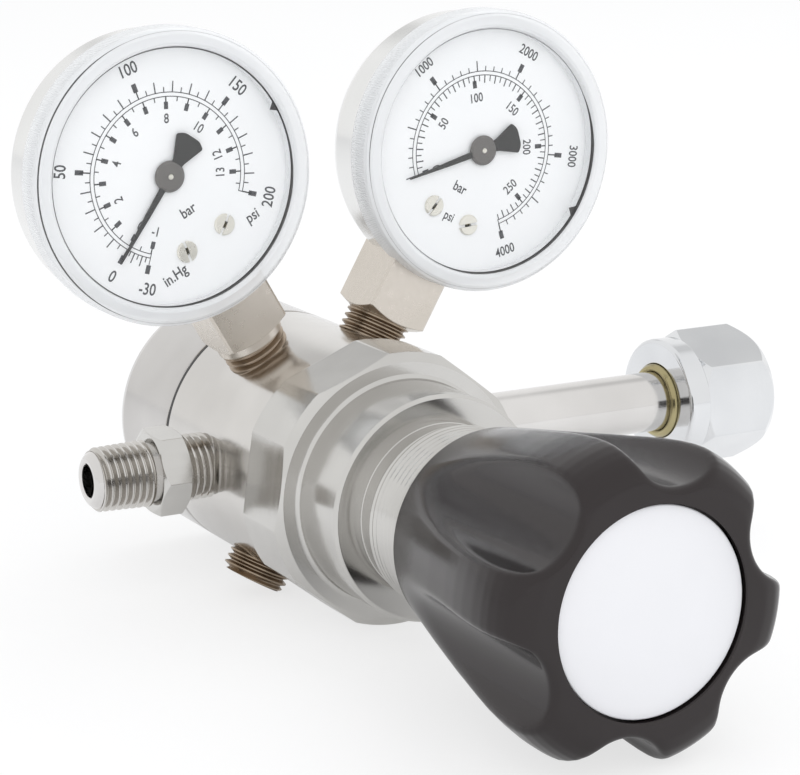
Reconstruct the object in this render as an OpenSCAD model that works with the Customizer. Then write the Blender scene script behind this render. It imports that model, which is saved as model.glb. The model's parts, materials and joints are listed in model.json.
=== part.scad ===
// Two-stage corrosive gas regulator with two pressure gauges, a lobed hand knob,
// a nut-and-nipple inlet and a pipe-nipple outlet.
// The origin is the centre of the inner end of the inlet nut's thread, just in front of the
// gasket. +X points out of the inlet nut, +Z is up and the hand knob faces -Y.
// Sizes are in millimetres. Distances called "from the port plane" run along the knob axis.

/* [Body] */
// Distance from the knob axis to the inner end of the inlet nut's thread
inlet_reach = 96; // [90:0.5:110]
// Diameter of the bar-stock body
body_d = 50.8; // [50.8:0.2:52]
// Length of the body from the port plane forward to the bonnet
body_front = 21.3; // [20.5:0.1:24]
// Length of the body from the port plane back to the seam
body_rear = 17.3; // [16.5:0.1:20]
// Width of the seam between body and rear cap
seam_gap = 0.4; // [0.2:0.1:1]
// Diameter of the threaded neck inside the bonnet
front_neck_d = 46; // [45:0.2:46.4]
// Length of the neck inside the bonnet
front_neck_len = 6.7; // [5:0.1:9]
// Diameter of the threaded neck inside the rear cap
rear_neck_d = 42; // [40.6:0.2:43]
// Length of the neck inside the rear cap
rear_neck_len = 5.7; // [4.5:0.1:8]

/* [Ports] */
// Radius of the pipe-thread shank in each port
pipe_r = 6.7; // [6.6:0.05:6.85]
// Radial play between each shank and its port
thread_gap = 0.05; // [0.02:0.01:0.1]
// Distance from the knob axis to the bottom of each port
port_floor = 14.6; // [14.4:0.1:16]
// Radius of the drilled gas passages
passage_r = 1; // [0.8:0.1:1]

/* [Valve cartridges] */
// Radius of the cartridge pocket
pocket_r = 7; // [6.5:0.1:7.5]
// Depth of the cartridge pocket below the diaphragm
pocket_depth = 19; // [17:0.5:20]
// Thickness of the valve seat
seat_t = 3; // [2:0.1:4]
// Radius of the seat orifice
orifice_r = 1.6; // [1.3:0.1:1.9]
// Length of the seat retainer
retainer_len = 4; // [3:0.1:5]
// Radius of the poppet stem
stem_r = 0.9; // [0.7:0.1:1.1]
// Radius of the poppet head
poppet_r = 2.8; // [2.4:0.1:3.4]
// Depth of the chamber under the diaphragm
chamber_depth = 1; // [0.8:0.1:1.5]
// Travel of each valve
valve_lift = 0.6; // [0.3:0.1:0.7]
// Thickness of the diaphragm
diaphragm_t = 0.2; // [0.15:0.05:0.4]
// Depth of the diaphragm's corrugation
corrugation = 0.8; // [0.4:0.1:1.2]
// Radius of the spring plate on the diaphragm
plate_r = 13; // [12.2:0.1:13.4]
// Inner radius of the clamp ring round the diaphragm
clamp_r = 17; // [16.4:0.1:17.6]
// Thickness of the clamp ring
clamp_t = 2; // [1.5:0.1:3]

/* [Springs] */
// Outer radius of the pressure-setting spring
range_spring_r = 12; // [10.5:0.1:12.6]
// Wire diameter of the pressure-setting spring
range_wire = 2.8; // [2.4:0.1:2.9]
// Free length of the pressure-setting spring
range_spring_len = 26.3; // [24:0.1:28]
// Turns of the pressure-setting spring
range_turns = 5.5; // [5:0.5:6]
// Outer radius of the first-stage spring
first_spring_r = 10.5; // [9.5:0.1:11]
// Wire diameter of the first-stage spring
first_wire = 2.6; // [2:0.1:2.8]
// Length of the first-stage spring
first_spring_len = 10.3; // [9.5:0.1:11]
// Turns of the first-stage spring
first_turns = 3; // [2.5:0.5:3.5]

/* [Bonnet] */
// Diameter of the bonnet's wrench ring
ring_d = 54; // [53.6:0.2:56]
// Distance across the wrench flats
ring_flats = 51.5; // [51:0.1:53]
// Length of the wrench ring
ring_len = 15; // [13:0.5:18]
// Turn of the wrench flats about the knob axis
ring_turn = 52; // [0:1:60]
// Diameter of the plain barrel in front of the ring
barrel_d = 44; // [42:0.2:46]
// Length of the plain barrel
barrel_len = 14.6; // [12:0.2:18]
// Major diameter of the panel thread
panel_d = 34.9; // [33.6:0.1:35.1]
// Length of the panel sleeve in front of the barrel
panel_len = 25.1; // [24:0.1:27]
// Length of the relief groove behind the panel thread
relief_len = 4; // [2:0.1:5]
// Radius of the spring bore
spring_bore_r = 14.5; // [13.6:0.1:14.8]
// Thickness of the bonnet's threaded end wall
end_wall = 10; // [8:0.5:11]

/* [Rear cap] */
// Length of the rear cap behind the seam
cap_len = 27; // [26:0.5:32]
// Radius of the rear cap's flat end
cap_end_r = 21.5; // [18:0.5:23]
// Length of the rear cap's rounded edge
cap_round = 5; // [3:0.5:6]
// Radius of the first-stage adjusting screw
adjuster_r = 5; // [4:0.1:6]
// Distance across the adjusting screw's socket
adjuster_socket = 5; // [4:0.5:5]

/* [Knob] */
// Radius of the knob at its rear edge, before rounding
skirt_r = 20; // [19.8:0.1:20.4]
// Radius of the knob across its lobes
lobe_r = 28.7; // [28:0.1:32]
// Overall length of the knob
knob_len = 54.5; // [53:0.5:58]
// Gap from the barrel's front face to the knob's rear edge
knob_gap = 16.6; // [15:0.1:18]
// Number of lobes
lobes = 6; // [5:1:7]
// Radius of each finger flute
flute_r = 10; // [8.5:0.5:11]
// Distance from the knob axis to the flute floor at the front
flute_front = 21.4; // [21:0.1:22.5]
// Distance from the knob axis to the flute floor at the rear edge
flute_rear = 21.2; // [20.8:0.05:21.6]
// Turn of the flutes about the knob axis
flute_turn = 20; // [0:1:60]
// Radius of the bore in the knob's skirt
skirt_bore = 17.75; // [17.7:0.05:18]
// Depth of the bore in the knob's skirt
skirt_depth = 19; // [18.5:0.5:22]
// Radius of the knob's face disc
disc_r = 18.36; // [17:0.1:18.4]
// Thickness of the knob's face disc
disc_t = 1.2; // [0.8:0.1:2]
// Depth of the disc's recess
disc_recess = 2.2; // [2.2:0.1:3]
// Radius of the adjusting screw
screw_r = 5.95; // [5:0.05:7]
// Lead of the adjusting screw
screw_lead = 1.5; // [1:0.25:2]
// Turns from backed out to fully in
screw_turns = 5; // [3:1:5]
// Radius of the thrust ball
ball_r = 2.5; // [2:0.1:3]

/* [Inlet] */
// Radius of the inlet nipple's tube
tube_r = 6.5; // [6.3:0.05:6.6]
// Radius of the nipple's shoulder
shoulder_r = 9.6; // [9:0.1:10]
// Length of the nipple's shoulder
shoulder_len = 3.7; // [3:0.1:5]
// Thickness of the sealing gasket
gasket_t = 2; // [1:0.1:2.5]
// Distance from the gasket's face to the inner end of the nut's thread
seal_gap = 0.3; // [0.2:0.1:0.6]
// Radius of the nut's thread
nut_thread_r = 10.48; // [10.2:0.01:10.6]
// Extra radius of the undercut behind the nut's thread
nut_undercut = 0.4; // [0.2:0.1:0.6]
// Width of the chamfer in the nut's mouth
nut_lead_in = 0.8; // [0.4:0.1:1.2]
// Distance across the nut's flats
nut_flats = 26; // [25:0.1:28]
// Length of the nut's hexagon
nut_hex_len = 17.2; // [16:0.1:20]
// Radius of the nut's rear collar
collar_r = 13.5; // [12.2:0.1:13.6]
// Length of the nut's rear collar
collar_len = 5.1; // [4:0.1:7]
// Distance that the nut reaches past the inner end of its thread
nut_mouth = 11; // [9:0.5:13]
// Turn of the nut about the inlet axis
nut_turn = 23; // [0:1:60]

/* [Outlet] */
// Distance from the knob axis to the outlet's tip
outlet_reach = 49.9; // [46:0.1:56]
// Distance across the outlet nipple's flats
nipple_flats = 14.3; // [13.8:0.1:16]
// Length of the outlet nipple's hexagon
nipple_hex_len = 6.1; // [5:0.1:8]
// Length of the outlet's free thread
nipple_thread = 13; // [11:0.1:14]
// Length of the full-size start of the outlet's free thread
nipple_straight = 6; // [4:0.5:8]
// Radius of the outlet's bore
outlet_bore = 3.3; // [2.5:0.1:3.6]
// Radius of the thread at the outlet's tip
tip_r = 6.45; // [6:0.05:6.5]
// Turn of the outlet's hexagon
nipple_turn = 21; // [0:1:60]
// Length of each port plug outside the body
plug_out = 4; // [2:0.5:6]
// Distance across each plug's socket
plug_socket = 6.35; // [5:0.05:6.5]

/* [Gauges] */
// Distance from the knob axis to the dial centre
gauge_h = 69; // [68:0.5:74]
// Tilt of each gauge from upright
gauge_tilt = 30; // [30:1:32]
// Outer radius of the gauge case
case_r = 27.3; // [26.8:0.1:28]
// Wall of the gauge case
case_wall = 1; // [0.7:0.1:1.1]
// Distance from the stem axis to the back of the case
case_back = 8; // [8:0.1:10]
// Distance from the stem axis to the front rim of the case
case_front = 8; // [8:0.1:8.6]
// Radius of the case's rear corner
case_round = 4.5; // [3:0.1:5]
// Distance that the window ring stands out round the case
window_lip = 1.2; // [1:0.1:2]
// Distance from the stem axis to the back of the window ring
window_back = 4.5; // [4:0.1:6]
// Distance from the stem axis to the front of the window ring
window_front = 12; // [11.8:0.1:13.5]
// Width of the window's moulded front ring
bezel_w = 3.8; // [3.6:0.1:5.5]
// Distance from the dial centre down to the top of the square stem
stem_drop = 17; // [16.6:0.1:17.4]
// Width of the square stem
stem_w = 14; // [13.6:0.1:14]
// Length of the pipe shank between body and stem
stem_gap = 4.4; // [3:0.1:6]
// Distance from the stem axis to the dial's face
dial_face = 7.8; // [7.7:0.05:7.9]
// Thickness of the dial
dial_t = 0.5; // [0.4:0.1:0.5]
// Radius of each dial screw's head
dial_screw_r = 2.1; // [1.4:0.1:2.3]
// Length of the pointer from its arbor
pointer_len = 18.9; // [16:0.1:21]
// Length of the pointer's tail from its arbor
pointer_tail = 8.7; // [7:0.1:10]
// Radius of the pointer's hub
hub_r = 3.1; // [2.5:0.1:3.6]
// Mean radius of the curved measuring tube
bourdon_r = 19; // [18.8:0.1:20]
// Width of the curved measuring tube
bourdon_w = 9; // [8:0.1:9.4]
// Thickness of the curved measuring tube
bourdon_t = 2.4; // [2:0.1:2.5]
// Distance from the dial centre down to the sector's pivot
sector_drop = 10.5; // [10:0.1:11]
// Pitch radius of the pinion
pinion_r = 1; // [0.9:0.05:1.2]

/* [Hidden] */

$fn = 96;
EPS = 0.01;
STEEL = [0.76, 0.75, 0.73];
STEM_STEEL = [0.72, 0.67, 0.6];
BRASS = [0.78, 0.66, 0.42];
BLACK = [0.2, 0.19, 0.19];
WHITE = [0.95, 0.95, 0.96];
CLEAR = [0.9, 0.95, 0.97, 0.4];
POLYMER = [0.92, 0.9, 0.84];

// Angles of the six ports round the knob axis, from +X towards +Z
port_step = 360 / 6;
inlet_angle = 0;
outlet_angle = 180;
low_plug_angle = outlet_angle + port_step;
high_plug_angle = inlet_angle - port_step;
port_r = pipe_r + thread_gap;
shank_floor = port_floor + 0.5;

// Planes along the knob axis, measured forward from the port plane
body_r = body_d / 2;
front_face = body_front + front_neck_len;
rear_face = body_rear + rear_neck_len;
ring_front = body_front + ring_len;
barrel_front = ring_front + barrel_len;
panel_front = barrel_front + panel_len;
knob_rear = barrel_front + knob_gap;
knob_front = knob_rear + knob_len;
disc_floor = knob_front - disc_recess;
screw_travel = screw_lead * screw_turns;

// Heights above a stage's diaphragm plane
plate_t = 2.5;
plate_hub_r = 5;
plate_hub_len = 5;
clamp_top = diaphragm_t + clamp_t;
gallery_depth = 3;
gallery_in = 9;
gallery_out = clamp_r;
button_t = 3.5;
ball_seat = 0.8;
plate_front = front_face + diaphragm_t + plate_t;
button_rear = plate_front + range_spring_len;
button_front = button_rear + button_t;
ball_centre = button_front + ball_seat;
screw_tip = ball_centre + ball_r + thread_gap;
locknut_seat = disc_floor - 11;
locknut_t = 5;
locknut_r = 7.5;
tail_r = 4;
first_button_rear = rear_face + diaphragm_t + plate_t + first_spring_len;
first_button_t = 2;
cap_face = body_rear + seam_gap;
cap_back = cap_face + cap_len;

// Planes along the inlet, measured from the knob axis
gasket_face = inlet_reach - seal_gap;
gasket_back = gasket_face - gasket_t;
shoulder_back = gasket_back - shoulder_len;
nut_front = inlet_reach + nut_mouth;
nut_hex_back = nut_front - nut_hex_len;
nut_back = nut_hex_back - collar_len;
nut_inner_back = shoulder_back - seal_gap;
nut_play = 0.1;
nut_recess_r = 8.2;
nut_recess = 1.6;

gauge_stem_bottom = body_r + stem_gap;
stem_top = gauge_h - stem_drop;
window_r = case_r + window_lip;
glass_r = window_r - bezel_w;
dial_r = case_r - case_wall - 0.1;

// Frames

module from_inlet() {
    translate([-inlet_reach, 0, 0]) children();
}

// Local +Z runs forward along the knob axis, local +Y is up
module knob_axis() {
    from_inlet() rotate([90, 0, 0]) children();
}

// The same axis, running back from the port plane
module rear_axis() {
    knob_axis() rotate([180, 0, 0]) children();
}

// Local +Z runs out along the port at angle a
module port_axis(a) {
    knob_axis() rotate([0, 0, a]) rotate([0, 90, 0]) children();
}

// Local +Z runs up along a gauge's stem, local -Y is its front
module stem_axis(tilt) {
    from_inlet() rotate([0, tilt, 0]) children();
}

// Local +Z runs out of a gauge's dial, local +Y is the dial's top
module dial_axis(tilt) {
    stem_axis(tilt) translate([0, 0, gauge_h]) rotate([90, 0, 0]) children();
}

// Shared shapes

module tube(outer, inner, from, to) {
    difference() {
        translate([0, 0, from]) cylinder(r = outer, h = to - from);
        translate([0, 0, from - EPS]) cylinder(r = inner, h = to - from + 2 * EPS);
    }
}

module hexagon(flats, from, to) {
    translate([0, 0, from]) cylinder(r = flats / sqrt(3), h = to - from, $fn = 6);
}

// A round wire wound on a cylinder, with closed ends that lie flat
module coil(outer, wire, len, turns, sides, steps) {
    mean = outer - wire / 2;
    count = round(turns * steps);
    pitch_span = len - wire;
    centres = [for (i = [0:count])
        let (u = i / count, s = u * u * (3 - 2 * u), a = 360 * turns * u)
        [a, wire / 2 + pitch_span * s]];
    points = [for (c = centres) for (k = [0:sides - 1])
        let (b = 360 * k / sides, r = mean + wire / 2 * cos(b))
        [r * cos(c[0]), r * sin(c[0]), c[1] + wire / 2 * sin(b)]];
    walls = [for (i = [0:count - 1]) for (k = [0:sides - 1])
        let (n = (k + 1) % sides)
        [i * sides + k, i * sides + n, (i + 1) * sides + n, (i + 1) * sides + k]];
    start = [for (k = [0:sides - 1]) sides - 1 - k];
    finish = [for (k = [0:sides - 1]) count * sides + k];
    polyhedron(points = points, faces = concat([start], walls, [finish]));
}

// Valve stage: distances are measured outward from the port plane, f is the diaphragm plane

module stage_cut(f) {
    translate([0, 0, f - chamber_depth]) cylinder(r = gallery_out, h = chamber_depth + EPS);
    translate([0, 0, f - pocket_depth]) cylinder(r = pocket_r, h = pocket_depth);
    difference() {
        translate([0, 0, f - gallery_depth]) cylinder(r = gallery_out, h = gallery_depth);
        translate([0, 0, f - gallery_depth - EPS]) cylinder(r = gallery_in, h = gallery_depth);
    }
}

module stage_seat(f) {
    top = f - chamber_depth - retainer_len;
    tube(pocket_r - thread_gap, orifice_r, top - seat_t, top);
}

module stage_retainer(f) {
    top = f - chamber_depth;
    slot_w = 1.6;
    difference() {
        tube(pocket_r - thread_gap, orifice_r + 0.8, top - retainer_len, top);
        translate([-pocket_r, -slot_w / 2, top - slot_w])
            cube([2 * pocket_r, slot_w, slot_w + EPS]);
    }
}

module stage_poppet(f) {
    seat_under = f - chamber_depth - retainer_len - seat_t;
    cone = 2.6;
    head = 1.4;
    tail = 4;
    rotate_extrude() polygon([
        [0, seat_under - cone - head - tail], [1.3, seat_under - cone - head - tail],
        [1.3, seat_under - cone - head], [poppet_r, seat_under - cone - head],
        [poppet_r, seat_under - cone], [orifice_r - thread_gap, seat_under],
        [stem_r, seat_under + 0.8], [stem_r, f - EPS], [0, f - EPS]
    ]);
}

module stage_poppet_spring(f) {
    bottom = f - pocket_depth;
    top = f - chamber_depth - retainer_len - seat_t - 4;
    translate([0, 0, bottom]) coil(2.6, 0.7, top - bottom, 5, 6, 14);
}

// Thin disc with one corrugation between plate and clamp
module stage_diaphragm(f, outer) {
    inner = plate_r + 0.4;
    span = clamp_r - 0.2 - inner;
    steps = 16;
    wave = [for (i = [0:steps])
        let (u = i / steps) [inner + span * u, f - corrugation * pow(sin(180 * u), 2)]];
    top = [for (i = [0:steps]) [wave[steps - i][0], wave[steps - i][1] + diaphragm_t]];
    rotate_extrude() polygon(concat(
        [[0, f]], wave, [[outer, f], [outer, f + diaphragm_t]], top, [[0, f + diaphragm_t]]
    ));
}

module stage_clamp(f, outer) {
    tube(outer, clamp_r, f + diaphragm_t, f + clamp_top);
}

module stage_plate(f, hub_r) {
    base = f + diaphragm_t;
    translate([0, 0, base]) cylinder(r = plate_r, h = plate_t);
    translate([0, 0, base]) cylinder(r = hub_r, h = plate_t + plate_hub_len);
}

// Body

module regulator_body() color(STEEL) {
    interstage = [11.8, -21.5, 4.5, 14.5];
    knob_axis() difference() {
        union() {
            translate([0, 0, -body_rear]) cylinder(r = body_r, h = body_rear + body_front);
            cylinder(r = front_neck_d / 2, h = front_face);
            rotate([180, 0, 0]) cylinder(r = rear_neck_d / 2, h = rear_face);
        }
        stage_cut(front_face);
        rotate([180, 0, 0]) stage_cut(rear_face);
        for (i = [0:5]) rotate([0, 0, i * port_step]) {
            rotate([0, 90, 0]) translate([0, 0, port_floor])
                cylinder(r = port_r, h = body_r);
        }
        // Drillings from the low-pressure ports up to the front chamber
        for (a = [outlet_angle - port_step, outlet_angle, low_plug_angle]) rotate([0, 0, a])
            translate([port_floor + passage_r + 0.2, 0, 0])
                cylinder(r = passage_r, h = front_face - 2);
        // Slanted drillings from the high-pressure ports into the rear cartridge
        for (a = [inlet_angle, port_step, high_plug_angle]) rotate([0, 0, a])
            drilling([port_floor + 1, 0, 0], [pocket_r - 1, 0, -10]);
        rotate([0, 0, outlet_angle])
            drilling([interstage[0], 0, interstage[1]], [interstage[2], 0, interstage[3]]);
    }
}

// Straight round hole between two points in the XZ plane
module drilling(p, q) {
    d = q - p;
    len = norm(d);
    translate(p) rotate([0, atan2(d[0], d[2]), 0]) cylinder(r = passage_r, h = len);
}

module rear_cap() color(STEEL) {
    bore = rear_neck_d / 2 + thread_gap;
    shoulder = rear_face + clamp_top;
    button_bore = first_spring_r + 1;
    wall_back = first_button_rear + first_button_t + 1;
    steps = 10;
    drop = body_r - cap_end_r;
    round_edge = [for (i = [0:steps]) let (a = 90 * i / steps)
        [cap_end_r + drop * cos(a), cap_back - cap_round + cap_round * sin(a)]];
    rear_axis() difference() {
        rotate_extrude() polygon(concat(
            [[0, cap_face], [body_r, cap_face]], round_edge, [[0, cap_back]]
        ));
        translate([0, 0, cap_face - EPS]) cylinder(r = bore, h = shoulder - cap_face + EPS);
        translate([0, 0, shoulder - EPS])
            cylinder(r = plate_r + 0.6, h = plate_t + 1);
        translate([0, 0, shoulder - EPS]) cylinder(r = button_bore, h = wall_back - shoulder);
        translate([0, 0, shoulder]) cylinder(r = adjuster_r + thread_gap, h = cap_len + 1);
    }
}

module bonnet() color(STEEL) {
    bore = front_neck_d / 2 + thread_gap;
    shoulder = front_face + clamp_top;
    chamfer = 1.1;
    fillet = 0.9;
    barrel_r = barrel_d / 2;
    edge = 0.6;
    panel_r = panel_d / 2;
    relief_r = panel_r - 1;
    curve = [for (i = [0:6]) let (a = 90 * i / 6)
        [barrel_r + fillet - fillet * sin(a), ring_front + fillet - fillet * cos(a)]];
    knob_axis() difference() {
        rotate_extrude() polygon(concat(
            [[0, body_front], [ring_d / 2, body_front], [ring_d / 2, ring_front - chamfer],
             [ring_flats / 2 - 0.5, ring_front]],
            curve,
            [[barrel_r, barrel_front - edge], [barrel_r - edge, barrel_front],
             [relief_r, barrel_front], [relief_r, barrel_front + relief_len - 0.6],
             [panel_r, barrel_front + relief_len], [panel_r, panel_front - 1],
             [panel_r - 1, panel_front], [0, panel_front]]
        ));
        for (i = [0:5]) rotate([0, 0, ring_turn + 60 * i])
            translate([ring_flats / 2, -ring_d / 2, body_front - EPS])
                cube([ring_d, ring_d, ring_len + 2 * EPS]);
        translate([0, 0, body_front - EPS]) cylinder(r = bore, h = shoulder - body_front + EPS);
        translate([0, 0, shoulder - EPS])
            cylinder(r = spring_bore_r, h = panel_front - end_wall - shoulder + EPS);
        cylinder(r = screw_r + thread_gap, h = panel_front + 1);
    }
}

// Second stage

module outlet_seat() color(POLYMER) knob_axis() stage_seat(front_face);
module outlet_seat_retainer() color(STEEL) knob_axis() stage_retainer(front_face);
module outlet_poppet() color(STEEL) knob_axis() stage_poppet(front_face);
module outlet_poppet_spring() color(STEEL) knob_axis() stage_poppet_spring(front_face);
module outlet_diaphragm() color(STEEL) knob_axis()
    stage_diaphragm(front_face, front_neck_d / 2 - 1);
module outlet_clamp_ring() color(STEEL) knob_axis()
    stage_clamp(front_face, front_neck_d / 2 - 0.1);
module outlet_spring_plate() color(STEEL) knob_axis() stage_plate(front_face, plate_hub_r);

module range_spring() color(STEEL) {
    knob_axis() translate([0, 0, plate_front])
        coil(range_spring_r, range_wire, range_spring_len, range_turns, 8, 20);
}

module spring_button() color(BRASS) {
    knob_axis() difference() {
        union() {
            translate([0, 0, button_rear]) cylinder(r = plate_r, h = button_t);
            translate([0, 0, button_rear - plate_hub_len])
                cylinder(r = plate_hub_r, h = plate_hub_len + EPS);
        }
        translate([0, 0, ball_centre]) sphere(r = ball_r + thread_gap / 2, $fn = 64);
    }
}

module thrust_ball() color(STEEL) {
    knob_axis() translate([0, 0, ball_centre]) sphere(r = ball_r, $fn = 64);
}

// Knob

module adjusting_screw() color(STEEL) {
    shoulder = knob_rear + skirt_depth;
    knob_axis() {
        rotate_extrude() polygon([
            [0, screw_tip], [screw_r - 1, screw_tip], [screw_r, screw_tip + 1],
            [screw_r, locknut_seat - 6], [tail_r, locknut_seat - 6],
            [tail_r, locknut_seat + locknut_t + 1], [0, locknut_seat + locknut_t + 1]
        ]);
        tube(screw_r + 2, screw_r - EPS, shoulder - 2.4, shoulder);
    }
}

module knob() color(BLACK) {
    face_r = lobe_r - 5.2;
    nose = 7.7;
    rear_round = 1;
    steps = 8;
    rim = [for (i = [0:steps]) let (a = 90 * i / steps)
        [lobe_r - (lobe_r - face_r) * (1 - cos(a)), knob_front - nose + nose * sin(a)]];
    crown = knob_len - nose - 5;
    lean = atan2(flute_front - flute_rear, knob_len);
    knob_axis() difference() {
        rotate_extrude() polygon(concat(
            [[0, knob_rear], [skirt_r - rear_round, knob_rear],
             [skirt_r - 0.25, knob_rear + 0.25], [skirt_r + 0.2, knob_rear + rear_round],
             [lobe_r - 0.1, knob_rear + crown]],
            rim, [[0, knob_front]]
        ));
        for (i = [0:lobes - 1]) rotate([0, 0, flute_turn + 360 / lobes * i])
            translate([flute_rear + flute_r, 0, knob_rear]) rotate([0, lean, 0])
                translate([0, 0, -knob_len / 2]) cylinder(r = flute_r, h = 2 * knob_len);
        translate([0, 0, knob_rear - EPS]) cylinder(r = skirt_bore, h = skirt_depth + EPS);
        translate([0, 0, knob_rear]) cylinder(r = screw_r + thread_gap, h = locknut_seat - 6 - knob_rear);
        translate([0, 0, knob_rear]) cylinder(r = tail_r + thread_gap, h = knob_len);
        translate([0, 0, locknut_seat]) cylinder(r = locknut_r + 1.5, h = knob_len);
        translate([0, 0, disc_floor]) cylinder(r = disc_r + 0.3, h = disc_recess + EPS);
    }
}

module knob_locknut() color(STEEL) {
    knob_axis() difference() {
        hexagon(locknut_r * sqrt(3), locknut_seat, locknut_seat + locknut_t);
        translate([0, 0, locknut_seat - EPS])
            cylinder(r = tail_r + thread_gap, h = locknut_t + 2 * EPS);
    }
}

module knob_disc() color(WHITE) {
    knob_axis() translate([0, 0, disc_floor]) cylinder(r = disc_r, h = disc_t);
}

// First stage

module first_seat() color(POLYMER) rear_axis() stage_seat(rear_face);
module first_seat_retainer() color(STEEL) rear_axis() stage_retainer(rear_face);
module first_poppet() color(STEEL) rear_axis() stage_poppet(rear_face);
module first_poppet_spring() color(STEEL) rear_axis() stage_poppet_spring(rear_face);
module first_diaphragm() color(STEEL) rear_axis()
    stage_diaphragm(rear_face, rear_neck_d / 2 - 1);
module first_clamp_ring() color(STEEL) rear_axis()
    stage_clamp(rear_face, rear_neck_d / 2 - 0.1);
module first_spring_plate() color(STEEL) rear_axis() stage_plate(rear_face, plate_hub_r);

module first_spring() color(STEEL) {
    rear_axis() translate([0, 0, rear_face + diaphragm_t + plate_t])
        coil(first_spring_r, first_wire, first_spring_len, first_turns, 8, 20);
}

module first_spring_button() color(STEEL) {
    rear_axis() translate([0, 0, first_button_rear])
        cylinder(r = first_spring_r, h = first_button_t);
}

module first_adjuster() color(STEEL) {
    rear_axis() difference() {
        translate([0, 0, first_button_rear + first_button_t])
            cylinder(r = adjuster_r, h = cap_back - 1 - first_button_rear - first_button_t);
        hexagon(adjuster_socket, cap_back - 4, cap_back);
    }
}

// Inlet

module inlet_nipple() color(STEEL) {
    filter_len = 4;
    shank_len = body_r - 1 - shank_floor;
    port_axis(inlet_angle) difference() {
        union() {
            translate([0, 0, shank_floor]) cylinder(r = pipe_r, h = shank_len);
            translate([0, 0, shank_floor]) cylinder(r = tube_r, h = shoulder_back - shank_floor + EPS);
            translate([0, 0, shoulder_back]) cylinder(r = shoulder_r, h = shoulder_len);
        }
        translate([0, 0, shank_floor - EPS]) cylinder(r = 2.5, h = inlet_reach);
        translate([0, 0, gasket_back - filter_len]) cylinder(r = 4, h = filter_len + EPS);
    }
}

module inlet_filter() color(BRASS) {
    port_axis(inlet_angle) translate([0, 0, gasket_back - 4]) cylinder(r = 3.95, h = 3);
}

module inlet_gasket() color(POLYMER) {
    port_axis(inlet_angle) tube(shoulder_r - 0.8, 3.5, gasket_back, gasket_face);
}

module inlet_nut() color(STEEL) {
    corner = nut_flats / sqrt(3) + 0.15;
    chamfer = 1.2;
    front_chamfer = 3;
    port_axis(inlet_angle) difference() {
        rotate_extrude() polygon([
            [0, nut_back], [collar_r - 1, nut_back], [collar_r, nut_back + 1],
            [collar_r, nut_hex_back], [corner, nut_hex_back + chamfer],
            [corner, nut_front - front_chamfer], [nut_flats / 2 - 0.3, nut_front], [0, nut_front]
        ]);
        for (i = [0:5]) rotate([0, 0, nut_turn + 30 + 60 * i])
            translate([nut_flats / 2, -nut_flats, nut_hex_back])
                cube([nut_flats, 2 * nut_flats, nut_hex_len + 1]);
        translate([0, 0, nut_back - EPS]) cylinder(r = tube_r + nut_play, h = nut_front);
        translate([0, 0, nut_back - EPS]) cylinder(r = nut_recess_r, h = nut_recess);
        translate([0, 0, nut_inner_back])
            cylinder(r = nut_thread_r + nut_undercut, h = inlet_reach - nut_inner_back);
        translate([0, 0, inlet_reach - EPS]) cylinder(r = nut_thread_r, h = nut_front);
        translate([0, 0, nut_front - nut_lead_in])
            cylinder(r1 = nut_thread_r, r2 = nut_thread_r + nut_lead_in + EPS, h = nut_lead_in + EPS);
    }
}

// Brass ring that the nut turns on, half sunk in the nut's back
module inlet_ring() color(BRASS) {
    stand_out = 1.1;
    port_axis(inlet_angle)
        tube(nut_recess_r - nut_play, tube_r + nut_play, nut_back - stand_out,
            nut_back + nut_recess - nut_play);
}

// Outlet and plugs

module outlet_nipple() color(STEEL) {
    hex_front = outlet_reach - nipple_thread;
    hex_back = hex_front - nipple_hex_len;
    tip_chamfer = 1.6;
    corner = nipple_flats / sqrt(3);
    port_axis(outlet_angle) difference() {
        union() {
            translate([0, 0, shank_floor]) cylinder(r = pipe_r, h = hex_back - shank_floor + EPS);
            intersection() {
                rotate([0, 0, nipple_turn]) hexagon(nipple_flats, hex_back, hex_front);
                rotate_extrude() polygon([
                    [0, hex_back], [nipple_flats / 2, hex_back], [corner, hex_back + 0.6],
                    [corner, hex_front - 0.6], [nipple_flats / 2, hex_front], [0, hex_front]
                ]);
            }
            rotate_extrude() polygon([
                [0, hex_front - EPS], [pipe_r, hex_front - EPS],
                [pipe_r, hex_front + nipple_straight],
                [tip_r, outlet_reach - tip_chamfer], [tip_r - tip_chamfer, outlet_reach],
                [0, outlet_reach]
            ]);
        }
        translate([0, 0, shank_floor - EPS]) cylinder(r = outlet_bore, h = outlet_reach);
    }
}

module port_plug(a) {
    top = body_r + plug_out;
    port_axis(a) difference() {
        rotate_extrude() polygon([
            [0, shank_floor], [pipe_r, shank_floor], [pipe_r, top - 0.8],
            [pipe_r - 0.8, top], [0, top]
        ]);
        hexagon(plug_socket, top - 5, top + EPS);
    }
}

module port_plug_low() color(STEM_STEEL) port_plug(low_plug_angle);
module port_plug_high() color(STEM_STEEL) port_plug(high_plug_angle);

// Gauges: tilt is negative for the low-pressure gauge on the outlet side

// Stadium outline of the flattened tube, grown by g all round
module tube_section(g) {
    half = bourdon_w / 2 - bourdon_t / 2;
    translate([bourdon_r, 0]) {
        square([bourdon_t + 2 * g, 2 * half], center = true);
        translate([0, half]) circle(r = bourdon_t / 2 + g, $fn = 32);
        translate([0, -half]) circle(r = bourdon_t / 2 + g, $fn = 32);
    }
}

module tube_arc(from, to, g) {
    rotate([0, 0, from]) rotate_extrude(angle = to - from) tube_section(g);
}

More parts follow.
